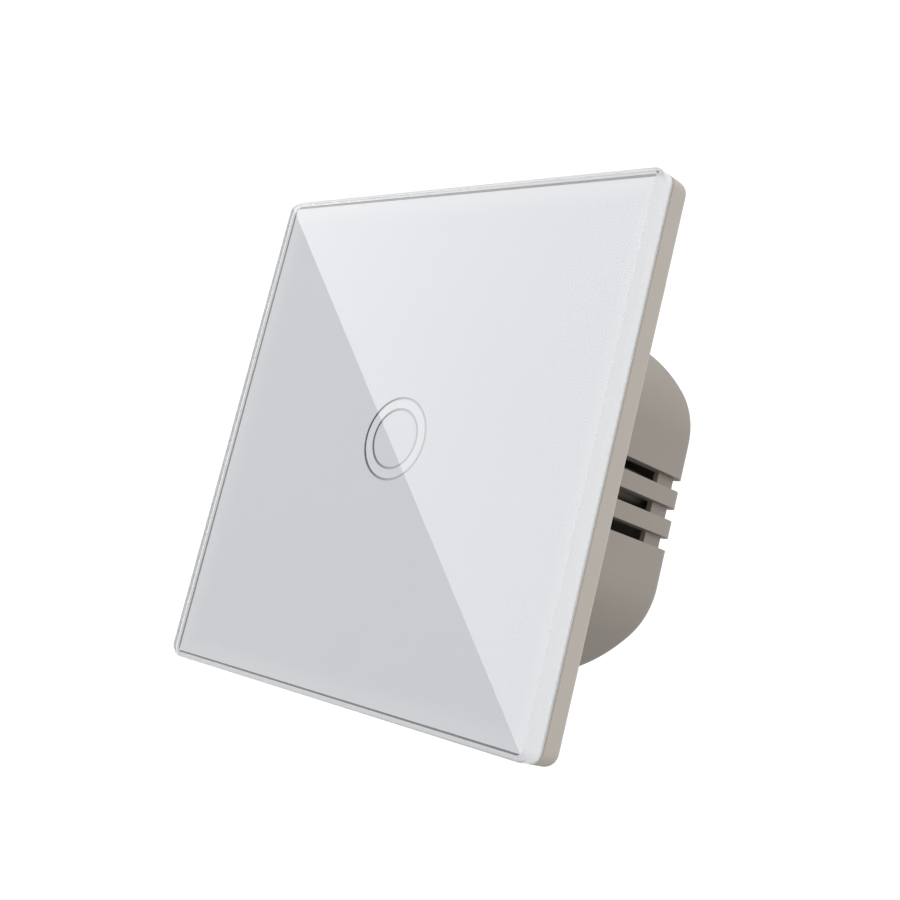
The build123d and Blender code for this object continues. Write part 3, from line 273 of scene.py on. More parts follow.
@dataclass(frozen=True)
class Metal:
    """Metal whose grain tells how it was made, from rolled sheet to wound wire with painted shade between
    its turns.
    """

    name: str
    colour: str
    second_colour: str
    grain: MetalGrain
    roughness: float = 0.3
    grain_mm: float = 0.5
    roll_stretch: float = 12.0
    wire_share: float = 3.0
    wire_waver: float = 0.3
    gloss_below: float = 0.08
    gloss_above: float = 0.1
    dent_strength: float = 0.3
    dent_mm: float = 0.02

    def build(self) -> bpy.types.Material:
        """Build the material."""
        material, tree, shader, place = start_material(self.name, {"Metallic": 1.0})
        scale = per_metre(self.grain_mm)
        if self.grain is MetalGrain.SPANGLED:
            pattern = add_node(
                tree, "ShaderNodeTexVoronoi", values={"Scale": scale}, links={"Vector": place}
            ).outputs["Color"]
        elif self.grain is MetalGrain.WOUND:
            # Wound wire: the darker bands are painted shade between the turns
            pattern = add_node(
                tree, "ShaderNodeTexWave", {"bands_direction": "Y"},
                {"Scale": scale / self.wire_share, "Distortion": self.wire_waver}, {"Vector": place},
            ).outputs["Fac"]
        else:
            along = self.roll_stretch if self.grain is MetalGrain.ROLLED else 1.0
            mapped = add_node(
                tree, "ShaderNodeMapping", values={"Scale": (1.0, 1.0, along)}, links={"Vector": place}
            )
            pattern = add_node(
                tree, "ShaderNodeTexNoise", values={"Scale": scale, "Detail": TONE_DETAIL},
                links={"Vector": mapped.outputs[0]},
            ).outputs[0]
        tone = add_node(
            tree, "ShaderNodeMix", {"data_type": "RGBA"},
            {MIX_A: linear(self.colour), MIX_B: linear(self.second_colour)}, {0: pattern},
        )
        gloss = add_node(
            tree, "ShaderNodeMapRange",
            values={
                "To Min": self.roughness - self.gloss_below,
                "To Max": self.roughness + self.gloss_above,
            },
            links={"Value": pattern},
        )
        bump = add_node(
            tree, "ShaderNodeBump",
            values={"Strength": self.dent_strength, "Distance": self.dent_mm * MM},
            links={"Height": pattern},
        )
        tree.links.new(tone.outputs[MIX_COLOUR], shader.inputs["Base Color"])
        tree.links.new(gloss.outputs[0], shader.inputs["Roughness"])
        tree.links.new(bump.outputs[0], shader.inputs["Normal"])
        return material


@dataclass(frozen=True)
class ClearSolid:
    """Float glass or cast acrylic: clear, with a ground or moulded edge that scatters a little."""

    name: str
    colour: str
    ior: float
    edge_from_mm: float
    face_roughness: float = 0.01
    edge_roughness: float = 0.3
    edge_clarity: float = 0.6
    edge_blend_mm: float = 0.05

    def build(self) -> bpy.types.Material:
        """Build the material."""
        values = {"Base Color": linear(self.colour), "IOR": self.ior}
        material, tree, shader, place = start_material(self.name, values)
        reach = square_reach(tree, place)
        edge = (self.edge_from_mm, self.edge_from_mm + self.edge_blend_mm)
        ground = ramp(tree, reach, *edge, self.face_roughness, self.edge_roughness)
        clarity = ramp(tree, reach, *edge, 1.0, self.edge_clarity)
        tree.links.new(ground, shader.inputs["Roughness"])
        tree.links.new(clarity, shader.inputs["Transmission Weight"])
        # Soft light reaches what lies behind a clear sheet nearly unbent, so it passes straight on
        path = add_node(tree, "ShaderNodeLightPath").outputs
        soft = add_node(
            tree, "ShaderNodeMath", {"operation": "MAXIMUM"},
            links={0: path["Is Shadow Ray"], 1: path["Is Diffuse Ray"]},
        )
        clear = add_node(
            tree, "ShaderNodeBsdfTransparent", values={"Color": linear(self.colour)}
        )
        either = add_node(
            tree, "ShaderNodeMixShader",
            links={0: soft.outputs[0], 1: shader.outputs[0], 2: clear.outputs[0]},
        )
        output = next(node for node in tree.nodes if node.type == "OUTPUT_MATERIAL")
        tree.links.new(either.outputs[0], output.inputs["Surface"])
        return material


@dataclass(frozen=True)
class Enamel:
    """Screen-printed white enamel, paler between the circles; painted light by its border, painted shade at
    its edge.
    """

    name: str
    colour: str
    ring_colour: str
    painted_light_colour: str
    painted_shade_colour: str
    ring_inner_mm: float
    ring_outer_mm: float
    painted_light_from_mm: float = 35.0
    painted_light_to_mm: float = 38.6
    shade_line_from_mm: float = 39.0
    shade_line_blend_mm: float = 0.05
    drift_mm: float = 30.0
    drift_share: float = 0.03
    roughness: float = 0.6

    def build(self) -> bpy.types.Material:
        """Build the material."""
        values = {"IOR": RESIN_IOR, "Roughness": self.roughness}
        material, tree, shader, place = start_material(self.name, values)
        flat = add_node(
            tree, "ShaderNodeVectorMath", {"operation": "MULTIPLY"}, {1: (1.0, 0.0, 1.0)}, {0: place}
        )
        radius = add_node(
            tree, "ShaderNodeVectorMath", {"operation": "LENGTH"}, links={0: flat.outputs[0]}
        ).outputs["Value"]
        past = add_node(
            tree, "ShaderNodeMath", {"operation": "GREATER_THAN"},
            {1: self.ring_inner_mm * MM}, {0: radius},
        )
        short = add_node(
            tree, "ShaderNodeMath", {"operation": "LESS_THAN"},
            {1: self.ring_outer_mm * MM}, {0: radius},
        )
        band = add_node(
            tree, "ShaderNodeMath", {"operation": "MULTIPLY"},
            links={0: past.outputs[0], 1: short.outputs[0]},
        )
        tone = add_node(
            tree, "ShaderNodeMix", {"data_type": "RGBA"},
            {MIX_A: linear(self.colour), MIX_B: linear(self.ring_colour)}, {0: band.outputs[0]},
        )
        reach = square_reach(tree, place)
        # Painted light: the print pales towards its border, where the glass's edge brightens it
        lit_border = add_node(
            tree, "ShaderNodeMix", {"data_type": "RGBA"}, {MIX_B: linear(self.painted_light_colour)},
            {0: ramp(tree, reach, self.painted_light_from_mm, self.painted_light_to_mm), MIX_A: tone.outputs[MIX_COLOUR]},
        )
        # Painted shade: a grey line along the print's edge, where the frame's shade shows through the glass
        shade_line_at = ramp(tree, reach, self.shade_line_from_mm, self.shade_line_from_mm + self.shade_line_blend_mm)
        shade_lined = add_node(
            tree, "ShaderNodeMix", {"data_type": "RGBA"}, {MIX_B: linear(self.painted_shade_colour)},
            {0: shade_line_at, MIX_A: lit_border.outputs[MIX_COLOUR]},
        )
        # The ink's thickness drifts a little across the sheet
        drift = add_node(
            tree, "ShaderNodeTexNoise", values={"Scale": per_metre(self.drift_mm)},
            links={"Vector": place},
        )
        inked = add_node(
            tree, "ShaderNodeMix", {"data_type": "RGBA", "blend_type": "MULTIPLY"},
            {0: self.drift_share},
            {MIX_A: shade_lined.outputs[MIX_COLOUR], MIX_B: drift.outputs["Color"]},
        )
        tree.links.new(inked.outputs[MIX_COLOUR], shader.inputs["Base Color"])
        return material


@dataclass(frozen=True)
class ShadedInk:
    """Thin printed line with painted shade: dark at its left end and lighter towards its right."""

    name: str
    left: str
    right: str
    shade_from_mm: float
    shade_to_mm: float
    speck_mm: float = 0.3
    speck_share: float = 0.1
    roughness: float = 0.6

    def build(self) -> bpy.types.Material:
        """Build the material."""
        values = {"IOR": RESIN_IOR, "Roughness": self.roughness}
        material, tree, shader, place = start_material(self.name, values)
        apart = add_node(tree, "ShaderNodeSeparateXYZ", links={"Vector": place})
        # Painted shade: the line darkens towards its left end
        tone = add_node(
            tree, "ShaderNodeMix", {"data_type": "RGBA"},
            {MIX_A: linear(self.left), MIX_B: linear(self.right)},
            {0: ramp(tree, apart.outputs[0], self.shade_from_mm, self.shade_to_mm)},
        )
        specks = add_node(
            tree, "ShaderNodeTexNoise", values={"Scale": per_metre(self.speck_mm)},
            links={"Vector": place},
        )
        inked = add_node(
            tree, "ShaderNodeMix", {"data_type": "RGBA", "blend_type": "MULTIPLY"},
            {0: self.speck_share},
            {MIX_A: tone.outputs[MIX_COLOUR], MIX_B: specks.outputs["Color"]},
        )
        tree.links.new(inked.outputs[MIX_COLOUR], shader.inputs["Base Color"])
        return material


@dataclass(frozen=True)
class Laminate:
    """Glass-fibre circuit board: solder mask over copper tracks that show as lighter lanes."""

    name: str
    mask: str
    over_copper: str
    lane_pitch_mm: float = 2.1
    lane_width_mm: float = 0.24
    jog_mm: float = 19.0
    break_mm: float = 9.0
    break_from: float = 0.46
    break_to: float = 0.49
    row_offset: float = 0.37
    row_squash: float = 1.6
    squash_rows: int = 3
    lane_softness: float = 0.1
    copper_mm: float = 0.035
    relief: float = 0.5
    roughness: float = 0.32

    def build(self) -> bpy.types.Material:
        """Build the material."""
        values = {"IOR": RESIN_IOR, "Roughness": self.roughness}
        material, tree, shader, place = start_material(self.name, values)
        facing = add_node(
            tree, "ShaderNodeMapping", values={"Rotation": (math.pi / 2, 0.0, 0.0)},
            links={"Vector": place},
        )
        lanes = add_node(
            tree, "ShaderNodeTexBrick",
            {
                "offset": self.row_offset, "squash": self.row_squash,
                "squash_frequency": self.squash_rows,
            },
            {
                "Scale": per_metre(1.0), "Mortar Size": self.lane_width_mm,
                "Mortar Smooth": self.lane_softness,
                "Brick Width": self.jog_mm, "Row Height": self.lane_pitch_mm,
            },
            {"Vector": facing.outputs[0]},
        )
        patches = add_node(
            tree, "ShaderNodeTexNoise", values={"Scale": per_metre(self.break_mm)},
            links={"Vector": place},
        )
        kept = add_node(
            tree, "ShaderNodeMapRange",
            values={"From Min": self.break_from, "From Max": self.break_to},
            links={"Value": patches.outputs[0]},
        )
        track = add_node(
            tree, "ShaderNodeMath", {"operation": "MULTIPLY"},
            links={0: lanes.outputs["Fac"], 1: kept.outputs[0]},
        )
        tone = add_node(
            tree, "ShaderNodeMix", {"data_type": "RGBA"},
            {MIX_A: linear(self.mask), MIX_B: linear(self.over_copper)}, {0: track.outputs[0]},
        )
        bump = add_node(
            tree, "ShaderNodeBump",
            values={"Strength": self.relief, "Distance": self.copper_mm * MM},
            links={"Height": track.outputs[0]},
        )
        tree.links.new(tone.outputs[MIX_COLOUR], shader.inputs["Base Color"])
        tree.links.new(bump.outputs[0], shader.inputs["Normal"])
        return material


@dataclass(frozen=True)
class Banded:
    """A body with bands across X: resistor paint, or metal caps on a ceramic tube."""

    name: str
    body: str
    band: str
    centre_mm: float
    band_from_mm: float
    band_to_mm: float
    roughness: float = 0.35

    def build(self) -> bpy.types.Material:
        """Build the material."""
        values = {"IOR": RESIN_IOR, "Roughness": self.roughness}
        material, tree, shader, place = start_material(self.name, values)
        apart = add_node(tree, "ShaderNodeSeparateXYZ", links={"Vector": place})
        shifted = add_node(
            tree, "ShaderNodeMath", {"operation": "SUBTRACT"},
            {1: self.centre_mm * MM}, {0: apart.outputs[0]},
        )
        away = add_node(
            tree, "ShaderNodeMath", {"operation": "ABSOLUTE"}, links={0: shifted.outputs[0]}
        )
        past = add_node(
            tree, "ShaderNodeMath", {"operation": "GREATER_THAN"},
            {1: self.band_from_mm * MM}, {0: away.outputs[0]},
        )
        short = add_node(
            tree, "ShaderNodeMath", {"operation": "LESS_THAN"},
            {1: self.band_to_mm * MM}, {0: away.outputs[0]},
        )
        band = add_node(
            tree, "ShaderNodeMath", {"operation": "MULTIPLY"},
            links={0: past.outputs[0], 1: short.outputs[0]},
        )
        tone = add_node(
            tree, "ShaderNodeMix", {"data_type": "RGBA"},
            {MIX_A: linear(self.body), MIX_B: linear(self.band)}, {0: band.outputs[0]},
        )
        tree.links.new(tone.outputs[MIX_COLOUR], shader.inputs["Base Color"])
        return material


# Frame rim: warm grey ABS; a spark-eroded grain keeps it matt, and a slow flow tone stops it looking flat
FRAME_ABS = Moulded("abs_frame_moulded", "#B3ACA3", "#ABA49B", 0.52, 0.4, 0.012)
# Housing: glass-filled nylon, darker and duller than the frame, with a coarser grain and broad flow marks
HOUSING_NYLON = Moulded("nylon_housing_moulded", "#968F86", "#8D867D", 0.6, 0.5, 0.02)
# Cover tray: off-white ABS that reads warmer and softer than the enamel in front of it
COVER_ABS = Moulded("abs_cover_moulded", "#E6E5E1", "#DEDCD7", 0.48, 0.4, 0.01)
# Foam tape: no shine, and an open-cell unevenness of about half a millimetre at its cut edge
FOAM = Moulded("acrylic_foam_tape", "#DAD9D4", "#CFCEC8", 0.9, 0.5, 0.05, 4.0)
# Header plastic: near-black nylon with a satin sheen, so that the tinned pins stand out
BLACK_NYLON = Moulded("nylon_black_moulded", "#17171A", "#202024", 0.45)
# Chip bodies: very fine, dry black epoxy that a light only greys
EPOXY_CHIP = Moulded("epoxy_chip_moulded", "#1B1B1C", "#252527", 0.6, 0.12)
# Relay case: dark blue PBT, smooth and a little glossy
RELAY_PBT = Moulded("pbt_relay_moulded", "#23375F", "#1E3054", 0.4)
# Bobbins: natural nylon, creamy and faintly blotched as unfilled nylon is
BOBBIN_NYLON = Moulded("nylon_bobbin_moulded", "#D8D2C2", "#CCC6B5", 0.5)
# Film capacitor: a bright yellow box with a soft shine along its rounded edges
FILM_BOX = Moulded("pbt_capacitor_box", "#D9B634", "#CDAA2C", 0.35)
# Can seal: dead black rubber, with almost no highlight
RUBBER_SEAL = Moulded("butyl_rubber_seal", "#151515", "#1E1E1E", 0.8)
# Ferrite: charcoal ceramic whose fine sintered grit shows as a salt-and-pepper tone
FERRITE = Moulded("ferrite_sintered", "#2E2E31", "#3A3A3E", 0.55, 0.2, 0.02, 1.5)
# Winding tape: glossy yellow film with faint wrinkles
WINDING_TAPE = Moulded("polyester_winding_tape", "#DFC548", "#D2B83D", 0.25, 0.8)
# Varistor: dipped blue epoxy, glossy with the slight orange peel of a dip
VARISTOR_EPOXY = Moulded("epoxy_varistor_dipped", "#1D49A6", "#19419A", 0.3, 1.2, 0.03)
# Terminal block: green nylon, satin, the one strong colour at the back
TERMINAL_PA = Moulded("nylon_terminal_moulded", "#3E7A52", "#376E49", 0.5)
# Lamps: pale yellow silicone over phosphor, smooth and a bit waxy
LAMP_RESIN = Moulded("silicone_lamp_resin", "#F2E6B0", "#EBDD9C", 0.3, 0.1)
# Ring mark: smoke-grey ink line with painted shade, dark on the left and lighter to the right, as in the
# photograph
RING_INK_AND_SHADE = ShadedInk("ring_ink_painted_shade", "#0C0C0E", "#B8B8BC", -6.6, 2.5)
# Chip resistors and capacitors: tan ceramic with a fine sintered grain
CHIP_CERAMIC = Moulded("ceramic_chip_sintered", "#A68A68", "#94795A", 0.5, 0.1, 0.01, 1.0)
# Mounting plate: hot-dip zinc, whose crystals of about 5 mm turn light and dark as the view turns
GALVANISED = Metal("steel_galvanised", "#C3C8CC", "#A9AFB4", MetalGrain.SPANGLED, 0.34, 5.0)
# Small screws: bright zinc, scuffed evenly by tumbling in the plating barrel
ZINC_SCREW = Metal("steel_zinc_plated", "#C8CACC", "#B4B2A6", MetalGrain.TUMBLED, 0.28, 0.6)
# Clamp cages and screws: yellow passivate, a straw tint that drifts over a millimetre or so
CLAMP_STEEL = Metal("steel_yellow_passivated", "#C9BE93", "#B8AE8E", MetalGrain.TUMBLED, 0.32, 0.8)
# Relay iron: plated sheet with faint straight rolling lines
RELAY_IRON = Metal("iron_relay_plated", "#B4B4B2", "#9E9E9C", MetalGrain.ROLLED, 0.3, 0.5)
# Pins: tinned brass, soft and whitish, with blurred highlights
TINNED = Metal("brass_tinned", "#CFCFCB", "#BDBDB6", MetalGrain.TUMBLED, 0.25, 0.4)
# Solder: bright domes that catch one small highlight each
SOLDER = Metal("solder_tin_reflowed", "#D4D5D6", "#BFC1C3", MetalGrain.TUMBLED, 0.2, 0.7)
# Electrode: bare etched copper, pinkish with a brushed direction
COPPER_FOIL = Metal("copper_foil_etched", "#D89570", "#C98560", MetalGrain.ROLLED, 0.35, 0.4)
# Tongues: stamped copper, a deeper red than the foil
TONGUE_COPPER = Metal("copper_tongue_stamped", "#CE8A64", "#BE7B57", MetalGrain.ROLLED, 0.3, 0.4)
# Contact springs: bronze strip, golden with rolling lines
SPRING_BRONZE = Metal("bronze_spring_stamped", "#C9A66B", "#B99558", MetalGrain.ROLLED, 0.28, 0.4)
# Coil wire: enamelled copper, red-brown and glossy, with painted shade between the turns
WOUND_COPPER = Metal("copper_wire_enamelled", "#B5623A", "#7E3A1E", MetalGrain.WOUND, 0.3, 0.2)
# Can: slate-blue printed sleeve over aluminium, so it still shines like metal
CAN_SLEEVE = Metal("aluminium_can_sleeved", "#3B4048", "#30343B", MetalGrain.ROLLED, 0.4, 0.8)
# Glass: clear float glass; the ground chamfer scatters and looks paler than the face
FLOAT_GLASS = ClearSolid("glass_float_tempered", "#FAFBFC", 1.52, 39.15)
# Light guide: frosted acrylic that spreads the lamps' light instead of showing them
GUIDE_ACRYLIC = ClearSolid("acrylic_light_guide", "#F3F6F7", 1.49, 5.6, 0.25, 0.4)
# Back print: cool white ink seen through glass, a trace lighter between the circles; painted light at the
# border and a painted shade line at its edge
WHITE_ENAMEL_PAINTED_EDGE = Enamel(
    "enamel_printed_painted_edge", "#DADBDF", "#E0E1E5", "#E0E1E3", "#7B7B7E", 4.75, 6.5
)
# Backdrop: pale paper, without shine and with no grain that the camera could see
BACKDROP = Moulded("paper_backdrop", "#FAFAFA", "#F7F7F7", 0.9, 1.0, 0.01, 400.0)
# Boards: dark green mask with lighter, slightly raised lanes where copper runs below
BOARD = Laminate("laminate_solder_mask", "#12452A", "#1B5F38")
# Fuse: cream ceramic tube between dull grey caps
FUSE_BODY = Banded("ceramic_fuse_capped", "#E3DCCB", "#BDBDB6", 0.0, 2.5, 9.0)
# Resistors: tan lacquer with two brown bands either side of the middle
RESISTOR_BODY = Banded("resistor_lacquered", "#C9AE80", "#6E3B1E", 13.45, 0.6, 1.1)


@dataclass
class Part:
    """One sub-assembly: the finishes of its nodes and the pieces modelled for it."""

    body: str
    finishes: dict[str, Any]
    own_finishes: dict[str, Any] = field(default_factory=dict, init=False)

    def build(self) -> list[bpy.types.Object]:
        """Model the sub-assembly's own pieces."""
        return []

    def claim(
        self, piece: bpy.types.Object, finish: Any, slot: str, body: str = ""
    ) -> bpy.types.Object:
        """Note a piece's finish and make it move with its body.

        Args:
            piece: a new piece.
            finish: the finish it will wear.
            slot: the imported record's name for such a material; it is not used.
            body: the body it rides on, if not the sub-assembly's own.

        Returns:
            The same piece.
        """
        self.own_finishes[piece.name] = finish
        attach(piece, body or self.body)
        LOG.info("%s rides on %s", piece.name, body or self.body)
        return piece

    def own(
        self, shape: bmesh.types.BMesh, name: str, finish: Any, slot: str, node: str = ""
    ) -> bpy.types.Object:
        """Turn a bmesh to a piece of this sub-assembly.

        Args:
            shape: the finished bmesh, in metres; it is freed.
            name: the new piece's name.
            finish: the finish it will wear.
            slot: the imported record's name for such a material.
            node: the CAD node that it stands for, if any.

        Returns:
            The new piece.
        """
        piece = mesh_piece(name, shape)
        if node:
            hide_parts(node)
        return self.claim(piece, finish, slot)

    def dress(self, nodes: Mapping[str, bpy.types.Object], made: dict[str, bpy.types.Material]) -> None:
        """Give each node its finish, then build and dress the sub-assembly's own pieces.

        Args:
            nodes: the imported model's objects by name.
            made: materials already built, by finish name.
        """
        for name, finish in self.finishes.items():
            wear(nodes[name], finish, made)
            LOG.info("%s: %s", name, finish.name)
        for piece in self.build():
            wear(piece, self.own_finishes[piece.name], made)


def wear(piece: bpy.types.Object, finish: Any, made: dict[str, bpy.types.Material]) -> None:
    """Put a finish on a piece, building its material once.

    Args:
        piece: the object to dress.
        finish: any finish with a name and a build method.
        made: materials already built, by finish name.
    """
    if finish.name not in made:
        made[finish.name] = finish.build()
    if not piece.material_slots:
        piece.data.materials.append(made[finish.name])
    for place in piece.material_slots:
        place.material = made[finish.name]


def mesh_piece(name: str, shape: bmesh.types.BMesh) -> bpy.types.Object:
    """Turn a bmesh to an object at the origin.

    Args:
        name: the object's name.
        shape: the finished bmesh, in metres; it is freed.

    Returns:
        The linked object.
    """
    bmesh.ops.recalc_face_normals(shape, faces=shape.faces)
    mesh = bpy.data.meshes.new(name)
    shape.to_mesh(mesh)
    shape.free()
    piece = bpy.data.objects.new(name, mesh)
    bpy.context.scene.collection.objects.link(piece)
    return piece


def thicken(shape: bmesh.types.BMesh, depth: float) -> None:
    """Give flat faces a depth along Y.

    Args:
        shape: a bmesh of flat faces.
        depth: how far the copy moves along Y, in metres.
    """
    result = bmesh.ops.extrude_face_region(shape, geom=list(shape.faces), use_keep_orig=True)
    moved = [v for v in result["geom"] if isinstance(v, bmesh.types.BMVert)]
    bmesh.ops.translate(shape, verts=moved, vec=Vector((0.0, depth, 0.0)))


@dataclass
class Panel(Part):
    """The glass, its print and ring mark, the tape and the moulded frame."""

    print_size_mm: float = 78.9
    print_corner_mm: float = 1.5
    ring_outer_radii_mm: tuple[float, ...] = (6.5, 4.75)
    ring_line_mm: float = 0.35
    print_depth_mm: float = 0.08
    bite_mm: float = 0.03
    ring_proud_mm: float = 0.02
    corner_steps: int = 6
    ring_sides: int = 128

    def build(self) -> list[bpy.types.Object]:
        """Model the print and the ring mark, set just into the glass so that no air shows between.

        Returns:
            The two new pieces.
        """
        glass_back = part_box("glass_panel")[1].y
        sheet = bmesh.new()
        bmesh.ops.create_grid(sheet, x_segments=1, y_segments=1, size=self.print_size_mm * MM / 2)
        bmesh.ops.rotate(sheet, verts=sheet.verts, matrix=Matrix.Rotation(math.pi / 2, 3, "X"))
        bmesh.ops.bevel(
            sheet, geom=list(sheet.verts), offset=self.print_corner_mm * MM,
            segments=self.corner_steps, profile=0.5, material=-1, affect="VERTICES",
        )
        thicken(sheet, self.print_depth_mm * MM)
        front = glass_back - self.bite_mm * MM
        bmesh.ops.translate(sheet, verts=sheet.verts, vec=Vector((0.0, front, 0.0)))
        enamel = self.own(sheet, "back_enamel", WHITE_ENAMEL_PAINTED_EDGE, "white_enamel", "glass_print")

        rings = bmesh.new()
        for radius in self.ring_outer_radii_mm:
            loops = []
            for size in (radius, radius - self.ring_line_mm):
                made = bmesh.ops.create_circle(
                    rings, cap_ends=False, radius=size * MM, segments=self.ring_sides
                )
                loops += list({edge for vert in made["verts"] for edge in vert.link_edges})
            bmesh.ops.bridge_loops(rings, edges=loops)
        bmesh.ops.rotate(rings, verts=rings.verts, matrix=Matrix.Rotation(math.pi / 2, 3, "X"))
        thicken(rings, self.print_depth_mm * MM / 2)
        move = Vector((0.0, front - self.ring_proud_mm * MM, 0.0))
        bmesh.ops.translate(rings, verts=rings.verts, vec=move)
        return [enamel, self.own(rings, "ring_lines", RING_INK_AND_SHADE, "ring_ink", "ring_mark")]


def add_block(
    shape: bmesh.types.BMesh,
    centre_mm: tuple[float, float, float],
    size_mm: tuple[float, float, float],
    edge_mm: float,
) -> None:
    """Add a block with softened edges.

    Args:
        shape: the bmesh to add to.
        centre_mm: the block's centre.
        size_mm: its full size on each axis.
        edge_mm: the bevel's width.
    """
    verts = bmesh.ops.create_cube(shape, size=MM)["verts"]
    bmesh.ops.scale(shape, verts=verts, vec=Vector(size_mm))
    bmesh.ops.translate(shape, verts=verts, vec=Vector(centre_mm) * MM)
    edges = list({edge for vert in verts for edge in vert.link_edges})
    bmesh.ops.bevel(
        shape, geom=edges, offset=edge_mm * MM, segments=2, profile=0.5, material=-1, affect="EDGES"
    )


def add_cone(
    shape: bmesh.types.BMesh,
    foot_mm: tuple[float, float, float],
    radii_mm: tuple[float, float],
    height_mm: float,
) -> None:
    """Add a round pad that rises along Y, wide at its foot.

    Args:
        shape: the bmesh to add to.
        foot_mm: the centre of its foot.
        radii_mm: the radii at foot and top.
        height_mm: how far it rises.
    """
    middle = Vector(foot_mm) * MM + Vector((0.0, height_mm * MM / 2, 0.0))
    bmesh.ops.create_cone(
        shape, cap_ends=True, segments=PAD_SIDES, radius1=radii_mm[0] * MM, radius2=radii_mm[1] * MM,
        depth=height_mm * MM, matrix=Matrix.Translation(middle) @ Matrix.Rotation(-math.pi / 2, 4, "X"),
    )


def middle_mm(name: str) -> Vector:
    """Give the middle of a CAD node's box in millimetres."""
    low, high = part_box(name)
    return (low + high) / 2 / MM


@dataclass
class TouchModule(Part):
    """The tray, light guide, lamps, electrode and sensor board behind the glass."""

    chip_places_mm: tuple[tuple[float, float], ...] = (
        (8.5, 6.5), (8.5, 9.0), (11.0, 6.5), (-8.5, 6.5), (-8.5, 9.0),
    )
    chip_size_mm: tuple[float, float, float] = (1.6, 0.5, 0.8)
    chip_edge_mm: float = 0.06

    def build(self) -> list[bpy.types.Object]:
        """Model the small chip parts on the sensor board's rear."""
        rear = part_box("sensor_board")[1].y / MM
        shape = bmesh.new()
        for x, z in self.chip_places_mm:
            centre = (x, rear + self.chip_size_mm[1] / 2, z)
            add_block(shape, centre, self.chip_size_mm, self.chip_edge_mm)
        return [self.own(shape, "sensor_chips", CHIP_CERAMIC, "resistor_body")]


@dataclass
class WallFixing(Part):
    """The galvanised plate that screws to the wall box."""

    plate_mm: float = 1.0
    slot_length_mm: float = 7.2
    slot_width_mm: float = 3.8
    slot_spacing_mm: float = 60.0
    burr_width_mm: float = 0.25
    burr_height_mm: float = 0.06
    burr_sides: int = 48

    def build(self) -> list[bpy.types.Object]:
        """Model the low lip that punching leaves round each screw slot."""
        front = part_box("mounting_plate")[1].y / MM - self.plate_mm
        shape = bmesh.new()
        reach = (self.slot_length_mm - self.slot_width_mm) / 2
        for side in (-1, 1):
            loops = []
            for grow in (0.0, self.burr_width_mm):
                radius = (self.slot_width_mm / 2 + grow) * MM
                turn = Matrix.Rotation(math.pi / self.burr_sides, 4, "Z")
                verts = bmesh.ops.create_circle(
                    shape, cap_ends=False, radius=radius, segments=self.burr_sides, matrix=turn
                )["verts"]
                for vert in verts:
                    vert.co.x += math.copysign(reach, vert.co.x) * MM
                move = Vector((side * self.slot_spacing_mm * MM / 2, 0.0, 0.0))
                bmesh.ops.translate(shape, verts=verts, vec=move)
                loops += list({edge for vert in verts for edge in vert.link_edges})
            bmesh.ops.bridge_loops(shape, edges=loops)
        bmesh.ops.rotate(shape, verts=shape.verts, matrix=Matrix.Rotation(math.pi / 2, 3, "X"))
        thicken(shape, -self.burr_height_mm * MM)
        bmesh.ops.translate(shape, verts=shape.verts, vec=Vector((0.0, front * MM, 0.0)))
        return [self.own(shape, "slot_burrs", GALVANISED, "galvanised_steel")]


@dataclass
class Housing(Part):
    """The deep round housing with flat, vented sides."""

    mark_places_mm: tuple[tuple[float, float], ...] = (
        (18.0, 17.0), (-18.0, 17.0), (18.0, -14.0), (-18.0, -14.0),
    )
    mark_radius_mm: float = 1.6
    mark_height_mm: float = 0.08

    def build(self) -> list[bpy.types.Object]:
        """Model the faint round marks that the mould's ejector pins leave on the rear wall."""
        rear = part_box("rear_housing")[1].y / MM
        radii = (self.mark_radius_mm, self.mark_radius_mm - self.mark_height_mm)
        shape = bmesh.new()
        for x, z in self.mark_places_mm:
            add_cone(shape, (x, rear, z), radii, self.mark_height_mm)
        return [self.own(shape, "ejector_marks", HOUSING_NYLON, "housing_moulding")]


@dataclass
class PowerUnit(Part):
    """The main board with the parts soldered to it."""

    solder_radii_mm: tuple[float, float] = (0.85, 0.36)
    solder_height_mm: float = 0.6
    pin_spread: Mapping[str, tuple[float, float]] = field(
        default_factory=lambda: {
            "film_capacitor": (5.0, 0.0), "electrolytic_can": (2.5, 0.0), "varistor": (0.0, 2.25),
        }
    )

    def build(self) -> list[bpy.types.Object]:
        """Model the solder round the larger parts' leads."""
        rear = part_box("power_board")[1].y / MM
        shape = bmesh.new()
        for name, (across, up) in self.pin_spread.items():
            middle = middle_mm(name)
            for side in (-1, 1):
                foot = (middle.x + side * across, rear, middle.z + side * up)
                add_cone(shape, foot, self.solder_radii_mm, self.solder_height_mm)
        return [self.own(shape, "solder_joints", SOLDER, "tinned_metal")]


@dataclass
class Relay(Part):
    """The sealed relay that switches the load."""

    wire_mm: float = 0.36
    turn_sides: int = 48
    wire_sides: int = 8

    def build(self) -> list[bpy.types.Object]:
        """Model the coil's outer layer turn by turn, in place of the plain winding."""
        low, high = (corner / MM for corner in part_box("relay_winding"))
        middle = (low + high) / 2
        radius = (high.x - low.x) / 2 - self.wire_mm / 2
        turns = int((high.y - low.y) / self.wire_mm)
        pitch = (high.y - low.y) / turns
        shape = bmesh.new()
        for turn in range(turns):
            y = low.y + (turn + 0.5) * pitch
            place = Matrix.Translation(Vector((middle.x + radius, y, middle.z)) * MM)
            ring = bmesh.ops.create_circle(
                shape, cap_ends=False, radius=pitch * MM / 2, segments=self.wire_sides, matrix=place
            )["verts"]
            edges = list({edge for vert in ring for edge in vert.link_edges})
            bmesh.ops.spin(
                shape, geom=ring + edges, cent=Vector((middle.x, y, middle.z)) * MM,
                axis=(0.0, 1.0, 0.0), angle=2 * math.pi, steps=self.turn_sides, use_merge=True,
            )
        return [self.own(shape, "coil_turns", WOUND_COPPER, "enamelled_copper", "relay_winding")]


